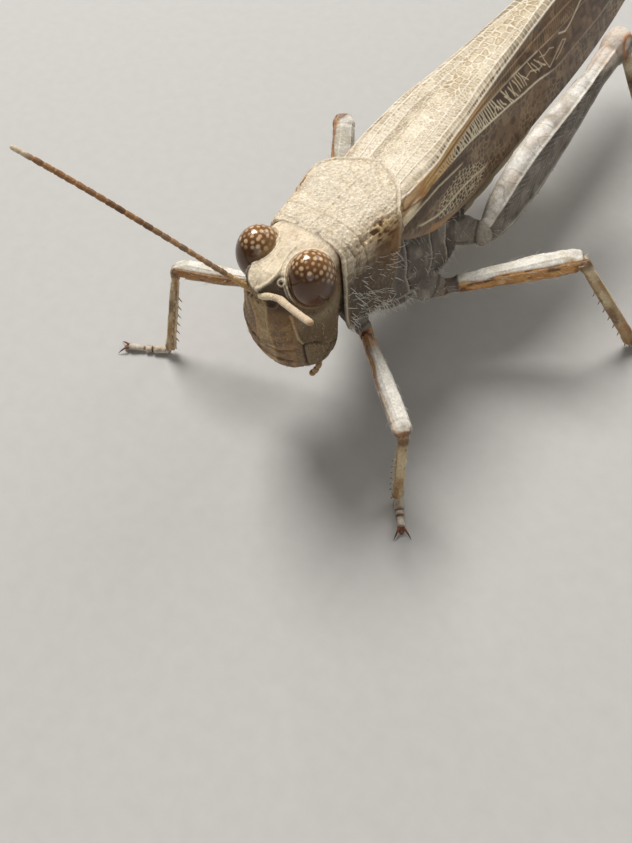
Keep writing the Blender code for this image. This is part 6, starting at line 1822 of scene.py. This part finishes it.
# ================================================================== hairs
def hairs(name, source, slot, pick, count, length, girth, stand, lie, seed, tones, axis=None, tip_curl=0.25):
    """Tapered curved hairs scattered on a finished piece, joined in one mesh.

    pick tells the allowed roots from their points and normals in body sizes; lie gives the way the hairs lean."""
    mesh = bpy.data.objects[source].data
    total = len(mesh.vertices)
    co, nr = np.zeros(total * 3), np.zeros(total * 3)
    mesh.vertices.foreach_get("co", co)
    mesh.vertices.foreach_get("normal", nr)
    co = co.reshape(-1, 3) * 1000 - np.array([-CENTRE_X, -CENTRE_Y, STAND_HEIGHT])
    nr = nr.reshape(-1, 3)
    at = np.nonzero(pick(co, nr))[0]
    zero = np.zeros_like(at)
    at = at[np.argsort(_hash(at, zero, zero, seed))][:count]
    zero = np.zeros_like(at)
    r1, r2, r3, r4 = (_hash(at, zero, zero, seed + k) for k in (1, 2, 3, 4))
    n = nr[at]
    d = np.asarray(lie(co[at], n), float) * np.ones_like(n)
    d = d - n * (d * n).sum(1, keepdims=True)
    d /= np.maximum(np.linalg.norm(d, axis=1, keepdims=True), 1e-6)
    side = np.cross(n, d)
    d = d + side * ((r3 - 0.5) * 0.9)[:, None]
    d /= np.linalg.norm(d, axis=1, keepdims=True)
    root = co[at] - n * 0.02
    size = length[0] + (length[1] - length[0]) * r1**1.5
    up = stand * (0.7 + 0.6 * r2)
    rings, sides = 7, 4
    t = np.linspace(0, 1, rings)[None, :, None]
    L = size[:, None, None]
    path = (root[:, None] + n[:, None] * (L * up[:, None, None] * (t - 0.30 * t**2)) + d[:, None] * (L * np.sqrt(np.clip(1 - up**2, 0.05, 1))[:, None, None] * (0.45 * t + 0.55 * t**2))
            + side[:, None] * (L * tip_curl * ((r4 - 0.5) * 2)[:, None, None] * t**2))
    tangent = np.gradient(path, axis=1)
    tangent /= np.linalg.norm(tangent, axis=2, keepdims=True)
    s1 = np.cross(tangent, side[:, None] + 0.1 * n[:, None])
    s1 /= np.linalg.norm(s1, axis=2, keepdims=True)
    s2 = np.cross(tangent, s1)
    r = (girth * (0.8 + 0.5 * r2))[:, None, None] * (1 - 0.90 * t**1.3)
    a = np.arange(sides) * 2 * math.pi / sides
    P = path[:, :, None] + r[:, :, None] * (s1[:, :, None] * np.cos(a)[None, None, :, None] + s2[:, :, None] * np.sin(a)[None, None, :, None])
    k = len(at)
    base = (np.arange(k) * rings * sides)[:, None, None]
    i = (np.arange(rings - 1) * sides)[None, :, None]
    j = np.arange(sides)[None, None, :]
    jn = (j + 1) % sides
    quads = np.stack([base + i + j, base + i + jn, base + i + sides + jn, base + i + sides + j], -1).reshape(-1, 4)
    caps = np.concatenate([(np.arange(k) * rings * sides)[:, None] + np.arange(sides)[None, ::-1],
                           (np.arange(k) * rings * sides + (rings - 1) * sides)[:, None] + np.arange(sides)[None, :]])
    faces = np.concatenate([quads, caps]).astype(np.int64)
    tone = mix(np.array(tones[0]) * np.ones(P.shape), np.array(tones[1]) * np.ones(P.shape), (t[:, :, None, 0] * np.ones((k, rings, sides))))
    obj = new_object(name, P.reshape(-1, 3), faces, tone.reshape(-1, 3))
    # every hair is one small patch at its root's place on an unwrap of the piece around its own axis
    middle = co.mean(0)
    if axis is None:
        axis = np.linalg.svd(co - middle, full_matrices=False)[2][0]
    axis = np.asarray(axis, float) / np.linalg.norm(axis)
    e1 = np.cross(axis, [0.13, 0.31, 0.94])
    e1 /= np.linalg.norm(e1)
    e2 = np.cross(axis, e1)
    run = (co - middle) @ axis
    ru, rv = (root - middle) @ e1, (root - middle) @ e2
    U = 0.02 + 0.96 * (np.arctan2(ru, rv) / (2 * math.pi) + 0.5)
    V = 0.02 + 0.96 * ((root - middle) @ axis - run.min()) / max(np.ptp(run), 1e-6)
    u = U[:, None, None] + 0.003 * (np.arange(sides)[None, None, :] / (sides - 1) - 0.5) * np.ones((k, rings, sides))
    v = V[:, None, None] + 0.003 * (t[:, :, None, 0] - 0.5) * np.ones((k, rings, sides))
    uv = np.stack([u, v], -1).reshape(-1, 2)
    layer = obj.data.uv_layers.new(name="OFBake")
    loops = np.zeros(len(obj.data.loops), np.int32)
    obj.data.loops.foreach_get("vertex_index", loops)
    layer.data.foreach_set("uv", uv[loops].astype(np.float32).ravel())
    return finish_piece(obj, hair_mat, slot)


hair_mat = shell_material("hair_finish", rough=0.45, grain=9000, grain_depth=0.05, mottle=0.04, spec=0.4, bump=0.0)
WHITE_HAIR = (srgb(214, 208, 196), srgb(244, 242, 236))
GREY_HAIR = (srgb(186, 178, 164), srgb(236, 232, 222))


hairs("hair_pronotum_side", "pronotum_shell", "pronotum_shell", lambda c, n: (np.abs(c[:, 0]) > 1.55) & (n[:, 0] * np.sign(c[:, 0]) > 0.55) & (c[:, 2] < -1.5) & (c[:, 1] < 5.9),
      180, (0.26, 0.72), 0.0175, 0.66, lambda c, n: np.stack([0 * c[:, 0], 0.95 + 0 * c[:, 0], -0.45 + 0.3 * np.sin(3 * c[:, 2])], 1), 2001, WHITE_HAIR, (0, 1, 0), 0.60)
hairs("hair_pronotum_edge", "pronotum_shell", "pronotum_shell", lambda c, n: (np.abs(c[:, 0]) > 1.55) & (c[:, 2] < -4.2) & (n[:, 0] * np.sign(c[:, 0]) > 0.2),
      150, (0.28, 0.62), 0.016, 0.45, lambda c, n: [0, 0.35, -1.0], 2011, WHITE_HAIR, (0, 1, 0), 0.4)
hairs("hair_thorax_side", "thorax_plates", "body_shell", lambda c, n: (c[:, 2] < -2.3) & (c[:, 1] > 5.3) & (c[:, 1] < 11.6) & (np.abs(c[:, 0]) > 1.2),
      430, (0.16, 0.52), 0.013, 0.60, lambda c, n: [0, 0.6, -0.8], 2021, GREY_HAIR, (0, 1, 0), 0.9)
hairs("hair_thorax_low", "thorax_plates", "body_shell", lambda c, n: (c[:, 2] < -5.2) & (c[:, 1] > 4.2) & (c[:, 1] < 11.4),
      620, (0.30, 0.80), 0.012, 0.78, lambda c, n: [0, 0.5, -0.8], 2031, WHITE_HAIR, (0, 1, 0), 0.35)
hairs("hair_abdomen", "abdomen_rings", "body_shell", lambda c, n: (c[:, 2] < -3.2) & (c[:, 1] > 12.2) & (c[:, 1] < 27.0),
      420, (0.12, 0.28), 0.009, 0.45, lambda c, n: [0, 1.0, -0.1], 2041, GREY_HAIR, (0, 1, 0), 0.3)
hairs("hair_cheeks", "head_shell", "head_shell", lambda c, n: (c[:, 2] < -2.2) & (n[:, 1] < 0.6), 330, (0.08, 0.20), 0.008, 0.55, lambda c, n: [0, 0.2, -1.0], 2051,
      (srgb(190, 172, 142), srgb(230, 218, 196)), (0, 0, 1), 0.3)
hairs("hair_mouth", "head_shell", "head_shell", lambda c, n: (c[:, 2] < -5.35) & (n[:, 2] < 0.2), 90, (0.12, 0.30), 0.010, 0.6, lambda c, n: [0, 0.3, -1.0], 2061,
      (srgb(176, 150, 112), srgb(226, 208, 176)), (0, 0, 1), 0.3)
for number, (leg, side, hip, knee, ankle, heading, length) in enumerate(LEGS):
    kind = leg.split("_")[0]
    way = (np.array(knee) - np.array(hip)) * [side, 1, 1]
    way /= np.linalg.norm(way)
    shin = (np.array(ankle) - np.array(knee)) * [side, 1, 1]
    shin /= np.linalg.norm(shin)
    amount = {"fore": 110, "mid": 190, "hind": 260}[kind]
    span = {"fore": (0.14, 0.42), "mid": (0.18, 0.55), "hind": (0.10, 0.34)}[kind]
    hairs("hair_" + leg + "_thigh", leg + "_thigh", "thigh", lambda c, n: n[:, 2] < 0.75, amount, span, 0.0085, 0.62, lambda c, n, w=way: w, 2100 + 10 * number, WHITE_HAIR, way, 0.3)
    hairs("hair_" + leg + "_shin", leg + "_shin", "shin", lambda c, n: n[:, 2] < 2.0, 90 if kind != "hind" else 170, (0.10, 0.30), 0.0075, 0.55, lambda c, n, w=shin: w, 2105 + 10 * number, WHITE_HAIR, shin, 0.3)
    hairs("hair_" + leg + "_hip", leg + "_hip", "coxa", lambda c, n: n[:, 2] < 0.5, 70, (0.14, 0.42), 0.010, 0.6, lambda c, n: [0, 0.3, -1.0], 2108 + 10 * number, WHITE_HAIR, (0, 1, 0), 0.4)


# ================================================================== floor, light and camera
def floor_piece():
    size, n = 0.60, 60
    verts, faces = [], []
    for i in range(n + 1):
        for j in range(n + 1):
            verts.append((-size / 2 + size * i / n, -size / 2 + size * j / n, 0.0))
    for i in range(n):
        for j in range(n):
            a = i * (n + 1) + j
            faces.append((a, a + n + 1, a + n + 2, a + 1))
    mesh = bpy.data.meshes.new("floor")
    mesh.from_pydata(verts, [], faces)
    mesh.update()
    mat = bpy.data.materials.new("floor_finish")
    mat.use_nodes = True
    nt = mat.node_tree
    shader = nt.nodes["Principled BSDF"]
    shader.inputs["Roughness"].default_value = 0.85
    grain = nt.nodes.new("ShaderNodeTexNoise")
    grain.inputs["Scale"].default_value = 900.0
    tone = nt.nodes.new("ShaderNodeMixRGB")
    tone.inputs["Color1"].default_value = (0.50, 0.49, 0.47, 1)
    tone.inputs["Color2"].default_value = (0.55, 0.54, 0.52, 1)
    nt.links.new(grain.outputs["Fac"], tone.inputs["Fac"])
    nt.links.new(tone.outputs["Color"], shader.inputs["Base Color"])
    obj = bpy.data.objects.new("floor", mesh)
    obj.data.materials.append(mat)
    bpy.context.scene.collection.objects.link(obj)


floor_piece()


def aim(obj, where, at):
    where, at = Vector(where), Vector(at)
    obj.location = where
    obj.rotation_euler = (at - where).to_track_quat("-Z", "Y").to_euler()


def area_light(name, where, at, size, power, colour):
    data = bpy.data.lights.new(name, "AREA")
    data.shape = "DISK"
    data.size = size
    data.energy = power
    data.color = colour
    obj = bpy.data.objects.new(name, data)
    bpy.context.scene.collection.objects.link(obj)
    aim(obj, where, at)
    return obj


MIDDLE = (0.0, -0.006, 0.008)
area_light("key", (-0.17, 0.10, 0.30), MIDDLE, 0.175, 1.36, (1.0, 0.982, 0.955))
area_light("fill", (0.26, -0.22, 0.16), MIDDLE, 0.26, 0.15, (1.0, 0.98, 0.95))
area_light("back", (0.05, 0.30, 0.20), MIDDLE, 0.20, 0.25, (1.0, 0.99, 0.97))

world = bpy.data.worlds.new("studio")
world.use_nodes = True
world.node_tree.nodes["Background"].inputs["Color"].default_value = (1.0, 0.98, 0.95, 1)
world.node_tree.nodes["Background"].inputs["Strength"].default_value = 0.19
bpy.context.scene.world = world
bpy.context.scene.view_settings.view_transform = "Standard"

VIEW = np.array([[0.7889, 0.6128, -0.045], [0.4885, -0.67, -0.5589], [-0.3727, 0.419, -0.828]])
_u, _s, _v = np.linalg.svd(VIEW)
VIEW = _u @ _v
EYE_POINT = place(np.array([15.305, -14.577, 21.789]))
cam = bpy.data.cameras.new("camera")
cam.sensor_width = 36.0
cam.lens = 850 * 36 / 843
cam.clip_start = 0.001
cam.clip_end = 5.0
cam_obj = bpy.data.objects.new("camera", cam)
turn = Matrix.Identity(4)
for k in range(3):
    turn[k][0], turn[k][1], turn[k][2] = VIEW[0][k], -VIEW[1][k], -VIEW[2][k]
    turn[k][3] = EYE_POINT[k]
cam_obj.matrix_world = turn
bpy.context.scene.collection.objects.link(cam_obj)
bpy.context.scene.camera = cam_obj
